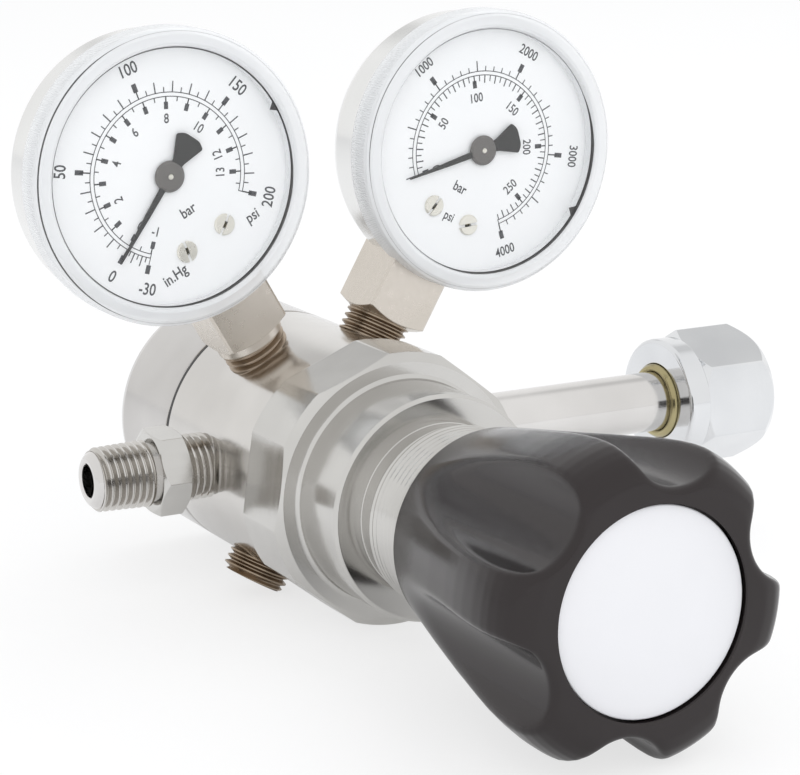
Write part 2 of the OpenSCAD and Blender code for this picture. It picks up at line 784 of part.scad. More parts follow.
module gauge_stem(tilt) {
    slot_from = -122;
    slot_to = -93;
    bore_r = 1.6;
    bore_top = gauge_h - bourdon_r - 1;
    difference() {
        stem_axis(tilt) {
            translate([0, 0, shank_floor])
                cylinder(r = pipe_r, h = gauge_stem_bottom - shank_floor + EPS);
            translate([-stem_w / 2, -stem_w / 2, gauge_stem_bottom])
                cube([stem_w, stem_w, stem_top - gauge_stem_bottom]);
        }
        stem_axis(tilt) translate([0, 0, shank_floor - EPS])
            cylinder(r = bore_r, h = bore_top - shank_floor);
        dial_axis(tilt) tube_arc(slot_from, slot_to, thread_gap);
    }
}

module gauge_case(tilt) {
    steps = 8;
    inner_round = case_round - case_wall;
    outer = [for (i = [0:steps]) let (a = 90 * i / steps)
        [case_r - case_round + case_round * sin(a), -case_back + case_round - case_round * cos(a)]];
    inner = [for (i = [0:steps]) let (a = 90 - 90 * i / steps)
        [case_r - case_round + inner_round * sin(a), -case_back + case_round - inner_round * cos(a)]];
    opening = stem_w + 2 * stem_play;
    dial_axis(tilt) difference() {
        rotate_extrude() polygon(concat(
            [[0, -case_back]], outer, [[case_r, case_front], [case_r - case_wall, case_front]],
            inner, [[0, -case_back + case_wall]]
        ));
        translate([-opening / 2, -2 * case_r, -opening / 2])
            cube([opening, 2 * case_r - stem_drop, opening]);
    }
}

// The ring's skirt is notched where the stem passes behind it
module gauge_window(tilt) {
    pane_t = 1;
    pane_drop = 1.4;
    edge = 1;
    pane = window_front - pane_drop;
    notch = stem_w + 2 * stem_play;
    dial_axis(tilt) difference() {
        rotate_extrude() polygon([
            [0, pane - pane_t], [0, pane], [glass_r, pane], [glass_r + 0.4, window_front],
            [window_r - edge, window_front], [window_r, window_front - edge],
            [window_r, window_back], [case_r + thread_gap, window_back],
            [case_r + thread_gap, case_front + 0.1], [glass_r, case_front + 0.1],
            [glass_r, pane - pane_t]
        ]);
        translate([-notch / 2, -2 * window_r, 0])
            cube([notch, 2 * window_r - stem_drop, notch / 2]);
    }
}

module gauge_dial(tilt) {
    dial_axis(tilt) difference() {
        translate([0, 0, dial_face - dial_t]) cylinder(r = dial_r, h = dial_t);
        translate([0, 0, dial_face - dial_t - EPS]) cylinder(r = 1.4, h = dial_t + 2 * EPS);
        for (p = screw_places) translate([p[0], p[1], dial_face - dial_t - EPS])
            cylinder(r = 0.75, h = dial_t + 2 * EPS);
    }
}

// Places of the two dial screws, from the dial centre
screw_places = [[4.8, -14.6], [-4.4, -14.6]];
stem_play = 0.1;
post_r = 1.5;
arbor_r = 0.5;
axle_r = 0.7;
plate_front_y = 2.5;
plate_back_y = -2.5;
plate_thick = 0.9;
case_depth = case_back + case_front;

module gauge_dial_screws(tilt) {
    dial_axis(tilt) for (p = screw_places) translate([p[0], p[1], 0]) {
        translate([0, 0, dial_face]) cylinder(r = dial_screw_r, h = 0.5, $fn = 32);
        translate([0, 0, dial_face - 2]) cylinder(r = 0.65, h = 2 + EPS, $fn = 32);
    }
}

module gauge_pointer(tilt, rest) {
    base = dial_face + 0.6;
    thick = 0.4;
    corner = 0.6;
    blade_w = hub_r / 4;
    tail_w = hub_r / 2;
    dial_axis(tilt) rotate([0, 0, -rest]) difference() {
        translate([0, 0, base]) union() {
            cylinder(r = hub_r, h = thick);
            linear_extrude(thick) polygon([
                [-blade_w, 1], [-blade_w / 5, pointer_len], [blade_w / 5, pointer_len],
                [blade_w, 1]
            ]);
            linear_extrude(thick) polygon([
                [-tail_w * 0.8, 0], [-hub_r, -pointer_tail + corner], [-tail_w, -pointer_tail],
                [tail_w, -pointer_tail], [hub_r, -pointer_tail + corner], [tail_w * 0.8, 0]
            ]);
        }
        translate([0, 0, base - EPS])
            cylinder(r = arbor_r + thread_gap, h = thick + 2 * EPS, $fn = 32);
    }
}

module gauge_arbor(tilt) {
    dial_axis(tilt) {
        translate([0, 0, plate_back_y - plate_thick])
            cylinder(r = arbor_r, h = dial_face + 1.1 - plate_back_y + plate_thick, $fn = 32);
        translate([0, 0, -0.4]) cylinder(r = pinion_r, h = 1.4, $fn = 48);
    }
}

// Toothless sector blank that drives the pinion
module gauge_sector(tilt) {
    reach = sector_drop - pinion_r - thread_gap;
    far = 2 * reach;
    tail = [6.5, -2];
    thick = 0.8;
    dial_axis(tilt) translate([0, -sector_drop, 0]) {
        linear_extrude(thick) difference() {
            union() {
                intersection() {
                    circle(r = reach);
                    polygon([
                        [0, 0], [far * cos(58), far * sin(58)], [far * cos(78), far * sin(78)],
                        [far * cos(97), far * sin(97)]
                    ]);
                }
                circle(r = 1.8);
                rotate([0, 0, atan2(tail[1], tail[0])]) translate([0, -0.8])
                    square([norm(tail), 1.6]);
                translate(tail) circle(r = 1);
            }
            translate(tail) circle(r = 0.4);
        }
        translate([0, 0, plate_back_y - plate_thick])
            cylinder(r = axle_r, h = plate_front_y - plate_back_y + 2 * plate_thick, $fn = 32);
    }
}

// Flat bar with round ends from p to q
module link_bar(p, q, r, from, thick) {
    d = q - p;
    for (c = [p, q]) translate([c[0], c[1], from]) cylinder(r = r, h = thick, $fn = 32);
    translate([p[0], p[1], from]) rotate([0, 0, atan2(d[1], d[0])])
        translate([0, -r, 0]) cube([norm(d), 2 * r, thick]);
}

// The measuring tube runs clockwise from its root, seen from the front, to its free tip
tube_root = -102;
tube_tip = -25;
tip_place = [(bourdon_r - 3) * cos(tube_tip + 3), (bourdon_r - 3) * sin(tube_tip + 3)];

module gauge_link(tilt) {
    tail = [6.5, -2 - sector_drop];
    dial_axis(tilt) {
        link_bar(tail, tip_place, 0.8, -0.65, 0.6);
        translate([tail[0], tail[1], -0.6]) cylinder(r = 0.35, h = 1.4, $fn = 24);
    }
}

module gauge_tube(tilt) {
    tab = 0.8;
    dial_axis(tilt) {
        tube_arc(tube_tip, tube_root + 360, 0);
        link_bar([bourdon_r * cos(tube_tip + 3), bourdon_r * sin(tube_tip + 3)], tip_place, 1.2, 0.05, tab);
    }
}

module gauge_movement(tilt) {
    half_w = 6.4;
    foot_w = 3.6;
    foot = stem_top - gauge_h;
    crown = 2;
    dial_axis(tilt) difference() {
        union() {
            for (y = [plate_front_y, plate_back_y - plate_thick]) translate([0, 0, y]) {
                translate([-half_w, foot + 0.9, 0]) cube([2 * half_w, crown - foot - 0.9, plate_thick]);
                translate([-foot_w, foot, 0]) cube([2 * foot_w, 2, plate_thick]);
                translate([0, crown, 0]) cylinder(r = half_w, h = plate_thick);
            }
            for (p = [[5, 4.5], [-5, 4.5], [-5, -14]])
                translate([p[0], p[1], plate_back_y - EPS])
                    cylinder(r = 1.1, h = plate_front_y - plate_back_y + 2 * EPS, $fn = 32);
            for (p = screw_places) translate([p[0], p[1], plate_front_y])
                cylinder(r = post_r, h = dial_face - dial_t - plate_front_y, $fn = 32);
        }
        translate([0, 0, -case_back])
            cylinder(r = arbor_r + thread_gap, h = case_depth, $fn = 32);
        translate([0, -sector_drop, -case_back])
            cylinder(r = axle_r + thread_gap, h = case_depth, $fn = 32);
        for (p = screw_places) translate([p[0], p[1], dial_face - 2.5])
            cylinder(r = 0.7, h = case_front, $fn = 32);
    }
}

low_tilt = -gauge_tilt;
high_tilt = gauge_tilt;
low_rest = 243.5;
high_rest = 225;

module low_gauge_stem() color(STEM_STEEL) gauge_stem(low_tilt);
module low_gauge_case() color(STEEL) gauge_case(low_tilt);
module low_gauge_window() color(CLEAR) gauge_window(low_tilt);
module low_gauge_dial() color(WHITE) gauge_dial(low_tilt);
module low_gauge_dial_screws() color(BRASS) gauge_dial_screws(low_tilt);
module low_gauge_pointer() color(BLACK) gauge_pointer(low_tilt, low_rest);
module low_gauge_arbor() color(BRASS) gauge_arbor(low_tilt);
module low_gauge_sector() color(BRASS) gauge_sector(low_tilt);
module low_gauge_link() color(BRASS) gauge_link(low_tilt);
module low_gauge_tube() color(STEEL) gauge_tube(low_tilt);
module low_gauge_movement() color(BRASS) gauge_movement(low_tilt);
module high_gauge_stem() color(STEM_STEEL) gauge_stem(high_tilt);
module high_gauge_case() color(STEEL) gauge_case(high_tilt);
module high_gauge_window() color(CLEAR) gauge_window(high_tilt);
module high_gauge_dial() color(WHITE) gauge_dial(high_tilt);
module high_gauge_dial_screws() color(BRASS) gauge_dial_screws(high_tilt);
module high_gauge_pointer() color(BLACK) gauge_pointer(high_tilt, high_rest);
module high_gauge_arbor() color(BRASS) gauge_arbor(high_tilt);
module high_gauge_sector() color(BRASS) gauge_sector(high_tilt);
module high_gauge_link() color(BRASS) gauge_link(high_tilt);
module high_gauge_tube() color(STEEL) gauge_tube(high_tilt);
module high_gauge_movement() color(BRASS) gauge_movement(high_tilt);

regulator_body();
rear_cap();
bonnet();
outlet_seat();
outlet_seat_retainer();
outlet_poppet();
outlet_poppet_spring();
outlet_diaphragm();
outlet_clamp_ring();
outlet_spring_plate();
range_spring();
spring_button();
thrust_ball();
adjusting_screw();
knob();
knob_locknut();
knob_disc();
first_seat();
first_seat_retainer();
first_poppet();
first_poppet_spring();
first_diaphragm();
first_clamp_ring();
first_spring_plate();
first_spring();
first_spring_button();
first_adjuster();
inlet_nipple();
inlet_nut();
inlet_ring();
inlet_gasket();
inlet_filter();
outlet_nipple();
port_plug_low();
port_plug_high();
low_gauge_stem();
low_gauge_case();
low_gauge_window();
low_gauge_dial();
low_gauge_dial_screws();
low_gauge_pointer();
low_gauge_arbor();
low_gauge_sector();
low_gauge_link();
low_gauge_tube();
low_gauge_movement();
high_gauge_stem();
high_gauge_case();
high_gauge_window();
high_gauge_dial();
high_gauge_dial_screws();
high_gauge_pointer();
high_gauge_arbor();
high_gauge_sector();
high_gauge_link();
high_gauge_tube();
high_gauge_movement();
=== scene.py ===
import json
from math import acos, atan2, cos, degrees, pi, radians, sin, sqrt, tan

import bmesh
import bpy
import numpy as np
from mathutils import Matrix, Vector


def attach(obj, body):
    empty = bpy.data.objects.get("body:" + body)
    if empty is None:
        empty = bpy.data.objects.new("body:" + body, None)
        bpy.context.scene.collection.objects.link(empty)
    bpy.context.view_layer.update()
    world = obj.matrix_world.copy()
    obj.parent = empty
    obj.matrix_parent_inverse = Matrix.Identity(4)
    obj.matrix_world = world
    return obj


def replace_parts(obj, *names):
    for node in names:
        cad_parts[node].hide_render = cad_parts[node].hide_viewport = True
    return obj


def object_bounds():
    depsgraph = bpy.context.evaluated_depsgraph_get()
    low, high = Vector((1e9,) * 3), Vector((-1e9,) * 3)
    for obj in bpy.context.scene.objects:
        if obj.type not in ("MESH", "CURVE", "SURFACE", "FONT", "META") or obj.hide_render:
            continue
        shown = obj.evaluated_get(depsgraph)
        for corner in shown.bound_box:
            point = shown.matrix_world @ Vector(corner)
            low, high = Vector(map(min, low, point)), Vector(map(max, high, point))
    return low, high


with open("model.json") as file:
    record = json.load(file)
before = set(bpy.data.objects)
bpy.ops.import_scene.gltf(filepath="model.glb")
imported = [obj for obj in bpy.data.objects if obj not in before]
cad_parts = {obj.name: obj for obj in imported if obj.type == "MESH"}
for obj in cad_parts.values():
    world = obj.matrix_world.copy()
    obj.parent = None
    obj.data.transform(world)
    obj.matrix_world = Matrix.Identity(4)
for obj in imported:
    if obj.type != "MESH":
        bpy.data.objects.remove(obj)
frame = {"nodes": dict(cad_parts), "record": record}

cad_box = [list(corner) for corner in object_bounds()]

MM = 0.001
NODES = frame["nodes"]

# Sizes in millimetres; most repeat the part's source. FRONT and REAR are heights along the knob's
# axis, which grow toward the knob, or along a port's axis, which grow outward.

REACH = 96.0

# Body, cap and bonnet
BODY_R = 25.4
BODY_FRONT = 21.3
BODY_REAR = -16.9
CAP_FRONT = -18.1
CAP_REAR = -44.7
CAP_BORE = 5.05
RING_R = 27.0
RING_FLAT = 25.75
RING_TURN = 52.0
RING_FRONT = 36.3
RING_CHAMFER = 1.1
BARREL_R = 22.0
BARREL_FRONT = 50.9
BARREL_CHAMFER = 0.6
RELIEF_R = 16.45
RELIEF_FRONT = 54.9
PANEL_R = 17.45
PANEL_FRONT = 76.0
PANEL_DEPTH = 0.75
PANEL_BEVEL = 0.9

# Knob
KNOB_REAR = 68.3
KNOB_FRONT = 122.0
KNOB_LOBES = 6
FLUTE_R = 10.0
FLUTE_REAR = 21.2
FLUTE_FRONT = 21.4
FLUTE_TURN = 20.0
SKIRT_BORE = 17.75
RECESS_R = 18.72
DISC_R = 18.36
DISC_FLOOR = 119.8
DISC_T = 1.2

# Pipe threads, plugs and outlet nipple
PIPE_CREST = 6.68
PIPE_PITCH = 1.411
PIPE_DEPTH = 0.95
PORT_FLOOR = 20.0
PLUG_TOP = 29.4
PLUG_SOCKET = 6.35
OUTLET_TIP = 49.9
OUTLET_BORE = 3.3
OUTLET_DEPTH = 0.85
HEX_FRONT = OUTLET_TIP - 13.0
HEX_BACK = HEX_FRONT - 6.1
NIPPLE_FLATS = 15.8
NIPPLE_TURN = 56.0
NIPPLE_SOFT = 0.25

# Inlet nut and the ring in its back
NUT_FLATS = 26.0
NUT_TURN = 23.0
NUT_SOFT = 0.5
NUT_FRONT = 106.4
NUT_HEX_BACK = 88.9
NUT_BACK = 84.0
NUT_BORE = 10.48
NUT_SEAT = 91.0
NUT_PITCH = 1.814
NUT_DEPTH = 0.72
COLLAR_R = 13.5
RING_BACK = 82.8
RING_END = 86.2

# Gauges; heights from the dial's own frame, and a stem's from the body's axis
GAUGE_H = 69.0
GAUGE_TILT = 30.0
STEM_BOTTOM = 29.8
STEM_TOP = 52.0
STEM_HALF = 7.0
STEM_CORNER = 9.55
CASE_R = 27.3
WINDOW_R = 28.5
WINDOW_FACE = 12.0
GLASS_R = 24.7
GLASS_BOTTOM = 9.6
SEAL_BOTTOM = 10.6
SEAL_TOP = 11.7
SEAL_LEAN = 0.35
DIAL_FACE = 7.8
PRINT_FACE = DIAL_FACE + 0.03
NEEDLE_BOTTOM = DIAL_FACE + 0.6
HUB_R = 3.05
SCREW_HEAD = 2.1
SCREW_PLACES = [(4.8, -14.6, 35.0), (-4.4, -14.6, 80.0)]


# Frames: each maps local millimetres to the row frame in metres

def turn(angle, axis):
    return Matrix.Rotation(radians(angle), 4, axis)


def knob_frame():
    return Matrix.Translation((-REACH * MM, 0, 0)) @ turn(90, "X") @ Matrix.Scale(MM, 4)


def port_frame(angle):
    return knob_frame() @ turn(angle, "Z") @ turn(90, "Y")


def stem_frame(tilt):
    return Matrix.Translation((-REACH * MM, 0, 0)) @ turn(tilt, "Y") @ Matrix.Scale(MM, 4)


def dial_frame(tilt):
    return stem_frame(tilt) @ Matrix.Translation((0, 0, GAUGE_H)) @ turn(90, "X")


# Node materials

EVEN = (1, 1, 1)
TURNED = (3, 60, 3)
ALONG_X = (60, 3, 3)
FINE_LINES = 20.0
NOISE_LOW = 0.3
NOISE_HIGH = 0.7


def new_material(name):
    mat = bpy.data.materials.new(name)
    mat.use_nodes = True
    tree = mat.node_tree
    tree.nodes.clear()
    out = tree.nodes.new("ShaderNodeOutputMaterial")
    shader = tree.nodes.new("ShaderNodeBsdfPrincipled")
    tree.links.new(shader.outputs[0], out.inputs[0])
    return mat, tree, shader


def mapped(tree, scale):
    coord = tree.nodes.new("ShaderNodeTexCoord")
    mapping = tree.nodes.new("ShaderNodeMapping")
    mapping.inputs["Scale"].default_value = scale
    tree.links.new(coord.outputs["Object"], mapping.inputs["Vector"])
    return mapping.outputs[0]


def noise(tree, vector, scale, detail, rough=0.5):
    node = tree.nodes.new("ShaderNodeTexNoise")
    node.inputs["Scale"].default_value = scale
    node.inputs["Detail"].default_value = detail
    node.inputs["Roughness"].default_value = rough
    tree.links.new(vector, node.inputs["Vector"])
    return node.outputs["Fac"]


def ramp(tree, value, low, high, low_at=NOISE_LOW, high_at=NOISE_HIGH):
    node = tree.nodes.new("ShaderNodeValToRGB")
    stops = node.color_ramp.elements
    stops[0].position = low_at
    stops[0].color = (*low, 1)
    stops[1].position = high_at
    stops[1].color = (*high, 1)
    tree.links.new(value, node.inputs[0])
    return node.outputs[0]


def spread(tree, value, low, high, low_at=NOISE_LOW, high_at=NOISE_HIGH):
    node = tree.nodes.new("ShaderNodeMapRange")
    node.inputs["From Min"].default_value = low_at
    node.inputs["From Max"].default_value = high_at
    node.inputs["To Min"].default_value = low
    node.inputs["To Max"].default_value = high
    tree.links.new(value, node.inputs["Value"])
    return node.outputs[0]


def maths(tree, operation, first, second):
    """A maths node on two values, each a socket or a float."""
    node = tree.nodes.new("ShaderNodeMath")
    node.operation = operation
    for socket, value in zip(node.inputs, (first, second)):
        if isinstance(value, float):
            socket.default_value = value
        else:
            tree.links.new(value, socket)
    return node.outputs[0]


def bump(tree, shader, value, distance):
    node = tree.nodes.new("ShaderNodeBump")
    node.inputs["Strength"].default_value = 1.0
    node.inputs["Distance"].default_value = distance
    tree.links.new(value, node.inputs["Height"])
    tree.links.new(node.outputs[0], shader.inputs["Normal"])


def metal(name, low, high, rough, grain=EVEN, grain_scale=900.0, depth=0.000008):
    """Machined metal: its grain is stretched by grain, its colour and gloss drift slowly."""
    mat, tree, shader = new_material(name)
    shader.inputs["Metallic"].default_value = 1.0
    slow = noise(tree, mapped(tree, EVEN), 55.0, 2.0)
    fine = noise(tree, mapped(tree, grain), grain_scale, 3.0, 0.6)
    tree.links.new(ramp(tree, slow, low, high), shader.inputs["Base Color"])
    gloss = spread(tree, maths(tree, "MULTIPLY", slow, fine), rough * 0.75, rough * 1.35,
                   0.12, 0.42)
    tree.links.new(gloss, shader.inputs["Roughness"])
    bump(tree, shader, fine, depth)
    return mat


def plastic(name, low, high, rough, coat=0.0):
    """Moulded or painted surface with a fine even grain."""
    mat, tree, shader = new_material(name)
    slow = noise(tree, mapped(tree, EVEN), 39.0, 2.0)
    fine = noise(tree, mapped(tree, EVEN), 2080.0, 2.0)
    tree.links.new(ramp(tree, slow, low, high), shader.inputs["Base Color"])
    tree.links.new(spread(tree, slow, rough * 0.85, rough * 1.2), shader.inputs["Roughness"])
    shader.inputs["Coat Weight"].default_value = coat
    shader.inputs["Coat Roughness"].default_value = 0.12
    bump(tree, shader, fine, 0.00001)
    return mat


def clear(name, tint, rough, alpha):
    """Moulded window plastic, seen through by its alpha."""
    mat, tree, shader = new_material(name)
    fine = noise(tree, mapped(tree, EVEN), 400.0, 2.0)
    slow = noise(tree, mapped(tree, EVEN), 60.0, 2.0)
    tree.links.new(ramp(tree, slow, tint, tuple(min(1, c * 1.03) for c in tint)),
                   shader.inputs["Base Color"])
    shader.inputs["Alpha"].default_value = alpha
    shader.inputs["IOR"].default_value = 1.49
    tree.links.new(spread(tree, slow, rough * 0.8, rough * 1.25), shader.inputs["Roughness"])
    bump(tree, shader, fine, 0.00002)
    return mat


steel_body = metal("turned_steel", (0.60, 0.583, 0.56), (0.68, 0.663, 0.64), 0.16, TURNED,
                   FINE_LINES)
steel_cap = metal("cap_steel", (0.53, 0.515, 0.50), (0.61, 0.595, 0.58), 0.16, TURNED,
                  FINE_LINES)
steel_bonnet = metal("polished_steel", (0.55, 0.54, 0.52), (0.63, 0.62, 0.60), 0.15, TURNED,
                     FINE_LINES)
steel_pipe = metal("pipe_steel", (0.66, 0.645, 0.63), (0.74, 0.725, 0.71), 0.13, ALONG_X,
                   FINE_LINES)
steel_nut = metal("nut_steel", (0.70, 0.71, 0.725), (0.78, 0.79, 0.80), 0.1, ALONG_X,
                  FINE_LINES)
# The next two are darker copies of the nut and pipe steels for the thread grooves: painted shade in
# the grooves.
nut_groove_shade_steel = metal("thread_steel", (0.60, 0.58, 0.55), (0.70, 0.68, 0.65), 0.2)
groove_shade_steel = metal("groove_painted_shade_steel", (0.52, 0.50, 0.47), (0.62, 0.60, 0.57), 0.22)
brown_thread = metal("sealed_thread", (0.30, 0.235, 0.17), (0.47, 0.39, 0.31), 0.34)
nickel = metal("stem_nickel", (0.61, 0.565, 0.505), (0.69, 0.64, 0.58), 0.3, EVEN, 700.0,
               0.000001)
case_steel = metal("case_steel", (0.76, 0.76, 0.75), (0.83, 0.83, 0.82), 0.16, EVEN, 500.0)
brass = metal("turned_brass", (0.36, 0.31, 0.165), (0.50, 0.445, 0.26), 0.2)
spring_wire = metal("spring_wire", (0.42, 0.42, 0.43), (0.55, 0.55, 0.56), 0.25)
hard_steel = metal("ground_steel", (0.52, 0.52, 0.53), (0.62, 0.62, 0.63), 0.2)
bronze = metal("sintered_bronze", (0.36, 0.26, 0.14), (0.52, 0.40, 0.24), 0.5, EVEN, 2500.0,
               0.00006)
polymer = plastic("white_polymer", (0.80, 0.78, 0.72), (0.86, 0.85, 0.80), 0.45)
black = plastic("black_plastic", (0.0065, 0.0047, 0.0048), (0.0105, 0.008, 0.0081), 0.18)
black_shader = black.node_tree.nodes["Principled BSDF"]
black_shader.inputs["Specular Tint"].default_value = (1.0, 0.93, 0.93, 1.0)
white_disc = plastic("label_white", (0.77, 0.77, 0.79), (0.81, 0.81, 0.83), 0.4, 0.1)
enamel = plastic("dial_enamel", (0.925, 0.935, 0.94), (0.95, 0.955, 0.96), 0.5)
ink = plastic("dial_ink", (0.045, 0.045, 0.05), (0.07, 0.07, 0.075), 0.6)
pointer_paint = plastic("pointer_black", (0.012, 0.011, 0.010), (0.022, 0.020, 0.018), 0.5)
hub_grey = plastic("hub_grey", (0.10, 0.093, 0.088), (0.15, 0.14, 0.13), 0.5)
pale_screw = metal("pale_screw", (0.72, 0.70, 0.63), (0.81, 0.79, 0.72), 0.3)
# Dark plastic for the body seam and the window seals; it also draws the painted shade line on each
# window's bevel.
seam_seal_and_shade_dark = plastic("seam_seal_and_shade_dark", (0.05, 0.05, 0.052), (0.09, 0.088, 0.085), 0.3)
seal_pale = plastic("seal_pale", (0.24, 0.25, 0.26), (0.31, 0.315, 0.32), 0.4)
clear_pane = clear("clear_pane", (0.93, 0.96, 0.98), 0.04, 0.03)
clear_ring = clear("clear_ring", (0.93, 0.94, 0.95), 0.16, 0.6)

BY_SLOT = {
    "body_steel": steel_body, "bonnet_steel": steel_bonnet, "fitting_steel": steel_pipe,
    "thread_steel": brown_thread, "stem_nickel": nickel, "case_chrome": case_steel,
    "spring_steel": spring_wire, "hard_steel": hard_steel, "brass": brass,
    "bronze_filter": bronze, "seat_polymer": polymer, "knob_black": black,
    "disc_white": white_disc, "window_clear": clear_ring, "dial_white": enamel,
    "pointer_black": pointer_paint,
}
SLOT_OF = {p["node"]: p["material_slot"] for p in frame["record"]["subparts"]}
for node_name, node_object in NODES.items():
    node_object.data.materials.clear()
    node_object.data.materials.append(BY_SLOT[SLOT_OF[node_name]])


# Mesh building

# How far a support point stands from a rounded corner, at most, and as a share of its side
HOLD = 0.06
HOLD_SHARE = 0.015
TINY = 1e-6

# Share of the pitch and share of the depth at the points of one turn of a thread
THREAD_SHAPE = [(0.0, 0.0), (0.10, 0.0), (0.44, 1.0), (0.56, 1.0), (0.90, 0.0)]
THREAD_RUNOUT = 0.6


def finish_mesh(name, verts, faces, where, body, mats, face_mats=None, sharp=30.0):
    """A mesh from local millimetres; where faces meet at over sharp degrees, the edge is crisp."""
    mesh = bpy.data.meshes.new(name)
    mesh.from_pydata([tuple(v) for v in verts], [], [tuple(f) for f in faces])
    mesh.transform(where)
    for mat in mats:
        mesh.materials.append(mat)
    if face_mats is not None:
        mesh.polygons.foreach_set("material_index", face_mats)
    made = bmesh.new()
    made.from_mesh(mesh)
    bmesh.ops.remove_doubles(made, verts=made.verts, dist=0.000001)
    bmesh.ops.dissolve_degenerate(made, edges=made.edges, dist=0.0000005)
    bmesh.ops.recalc_face_normals(made, faces=made.faces)
    for face in made.faces:
        face.smooth = True
    for edge in made.edges:
        edge.smooth = len(edge.link_faces) == 2 and edge.calc_face_angle(0.0) < radians(sharp)
    made.to_mesh(mesh)
    made.free()
    obj = bpy.data.objects.new(name, mesh)
    bpy.context.scene.collection.objects.link(obj)
    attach(obj, body)
    return obj


def arc_corner(a, b, c, radius, steps=4):
    """Points that round the corner at b; one more at each end keeps the flats' shading flat."""
    a, b, c = (np.array(p, float) for p in (a, b, c))
    u, v = a - b, c - b
    lu, lv = np.linalg.norm(u), np.linalg.norm(v)
    if radius <= 0 or lu < TINY or lv < TINY:
        return [tuple(b)] * (steps + 3)
    u, v = u / lu, v / lv
    half = acos(max(-1.0, min(1.0, float(u @ v)))) / 2
    if half > radians(88) or half < radians(3):
        return [tuple(b)] * (steps + 3)
    reach = min(radius / tan(half), lu * 0.48, lv * 0.48)
    r = reach * tan(half)
    centre = b + (u + v) / np.linalg.norm(u + v) * (r / sin(half))
    start, end = b + u * reach - centre, b + v * reach - centre
    t0, t1 = atan2(start[1], start[0]), atan2(end[1], end[0])
    sweep = (t1 - t0 + pi) % (2 * pi) - pi
    angles = [t0 + sweep * i / steps for i in range(steps + 1)]
    arc = [tuple(centre + r * np.array([cos(t), sin(t)])) for t in angles]
    before = b + u * (reach + min(HOLD, HOLD_SHARE * lu))
    after = b + v * (reach + min(HOLD, HOLD_SHARE * lv))
    return [tuple(before)] + arc + [tuple(after)]


def rounded(points, radius, closed=False):
    """The polyline with each inner corner rounded; radius is one number or one per point."""
    count = len(points)
    radii = radius if isinstance(radius, (list, tuple)) else [radius] * count
    out = []
    for i, p in enumerate(points):
        if not closed and i in (0, count - 1):
            out.append(tuple(p))
            continue
        out += arc_corner(points[i - 1], p, points[(i + 1) % count], radii[i])
    return out


def round_shape(points, radius):
    """A profile for lathe that is the same all round."""
    shape = rounded(points, radius)
    return lambda angle: shape


def lathe(name, profile_at, where, body, mats, segments=192, closed=False, extra=()):
    """Turns profile_at(angle), a line of (radius, height), about local Z; extra adds directions."""
    angles = sorted(set([round(360.0 * i / segments, 6) for i in range(segments)] +
                        [round(a % 360, 6) for a in extra]))
    columns = [profile_at(a) for a in angles]
    rows = len(columns[0])
    verts = []
    for a, column in zip(angles, columns):
        c, s = cos(radians(a)), sin(radians(a))
        verts += [(r * c, r * s, z) for r, z in column]
    faces = []
    spans = rows if closed else rows - 1
    for j in range(len(angles)):
        k = (j + 1) % len(angles)
        for i in range(spans):
            n = (i + 1) % rows
            faces.append((j * rows + i, k * rows + i, k * rows + n, j * rows + n))
    return finish_mesh(name, verts, faces, where, body, mats)


def thread(name, radius_at, start, end, pitch, depth, where, body, mats, segments=96, inner=False):
    """One helical V thread; radius_at(height) is the crest's radius, mats are crest and groove."""
    turns = int((end - start) / pitch) + 3
    sign = -1.0 if inner else 1.0
    per = len(THREAD_SHAPE)
    rows = turns * per
    verts = []
    for j in range(segments):
        a = 2 * pi * j / segments
        for i in range(rows):
            phase, dig = THREAD_SHAPE[i % per]
            raw = start + (i // per - 1 + phase + j / segments) * pitch
            z = min(max(raw, start), end)
            fade_in = max(0.0, (raw - start) / pitch + THREAD_RUNOUT)
            fade_out = max(0.0, (end - raw) / pitch + THREAD_RUNOUT)
            r = radius_at(z) - sign * depth * dig * min(1.0, fade_in, fade_out)
            verts.append((r * cos(a), r * sin(a), z))
    faces = []
    marks = []
    for j in range(segments):
        k = (j + 1) % segments
        shift = per if k == 0 else 0
        for i in range(rows - 1):
            back = i - shift
            if back < 0:
                continue
            faces.append((j * rows + i, k * rows + back, k * rows + back + 1, j * rows + i + 1))
            marks.append(0 if i % per == 0 else 1)
    return finish_mesh(name, verts, faces, where, body, mats, marks, 25.0)


def flat_radius(angle, flats, turn_by, count=6):
    """Distance from the axis to the nearest of count flats in this direction."""
    step = 360.0 / count
    off = (angle - turn_by + step / 2) % step - step / 2
    return flats / cos(radians(off))


# Body and rear cap

K = knob_frame()
body_shell = lathe("body_shell", round_shape([
    (20.0, BODY_REAR), (BODY_R, BODY_REAR), (BODY_R, BODY_FRONT - 0.01), (22.0, BODY_FRONT - 0.01)],
    [0, 0.25, 0.2, 0]), K, "regulator", [steel_body], 256)
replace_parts(body_shell, "regulator_body")
lathe("body_seam", round_shape([
    (BODY_R - 0.2, BODY_REAR + 0.1), (BODY_R - 0.4, (BODY_REAR + CAP_FRONT) / 2),
    (BODY_R - 0.2, CAP_FRONT - 0.1)], 0), K, "regulator", [seam_seal_and_shade_dark], 256)
cap_shell = lathe("cap_shell", round_shape([
    (20.0, CAP_FRONT), (BODY_R, CAP_FRONT), (BODY_R, -39.7), (24.9, -41.6), (23.9, -43.4),
    (22.3, -44.55), (20.6, CAP_REAR), (CAP_BORE, CAP_REAR), (CAP_BORE, CAP_REAR + 1.0)],
    [0, 0.3, 3.0, 1.0, 1.0, 1.0, 1.5, 0.3, 0]), K, "regulator", [steel_cap], 256)
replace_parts(cap_shell, "rear_cap")


# Bonnet: flatted wrench ring, barrel and threaded sleeve

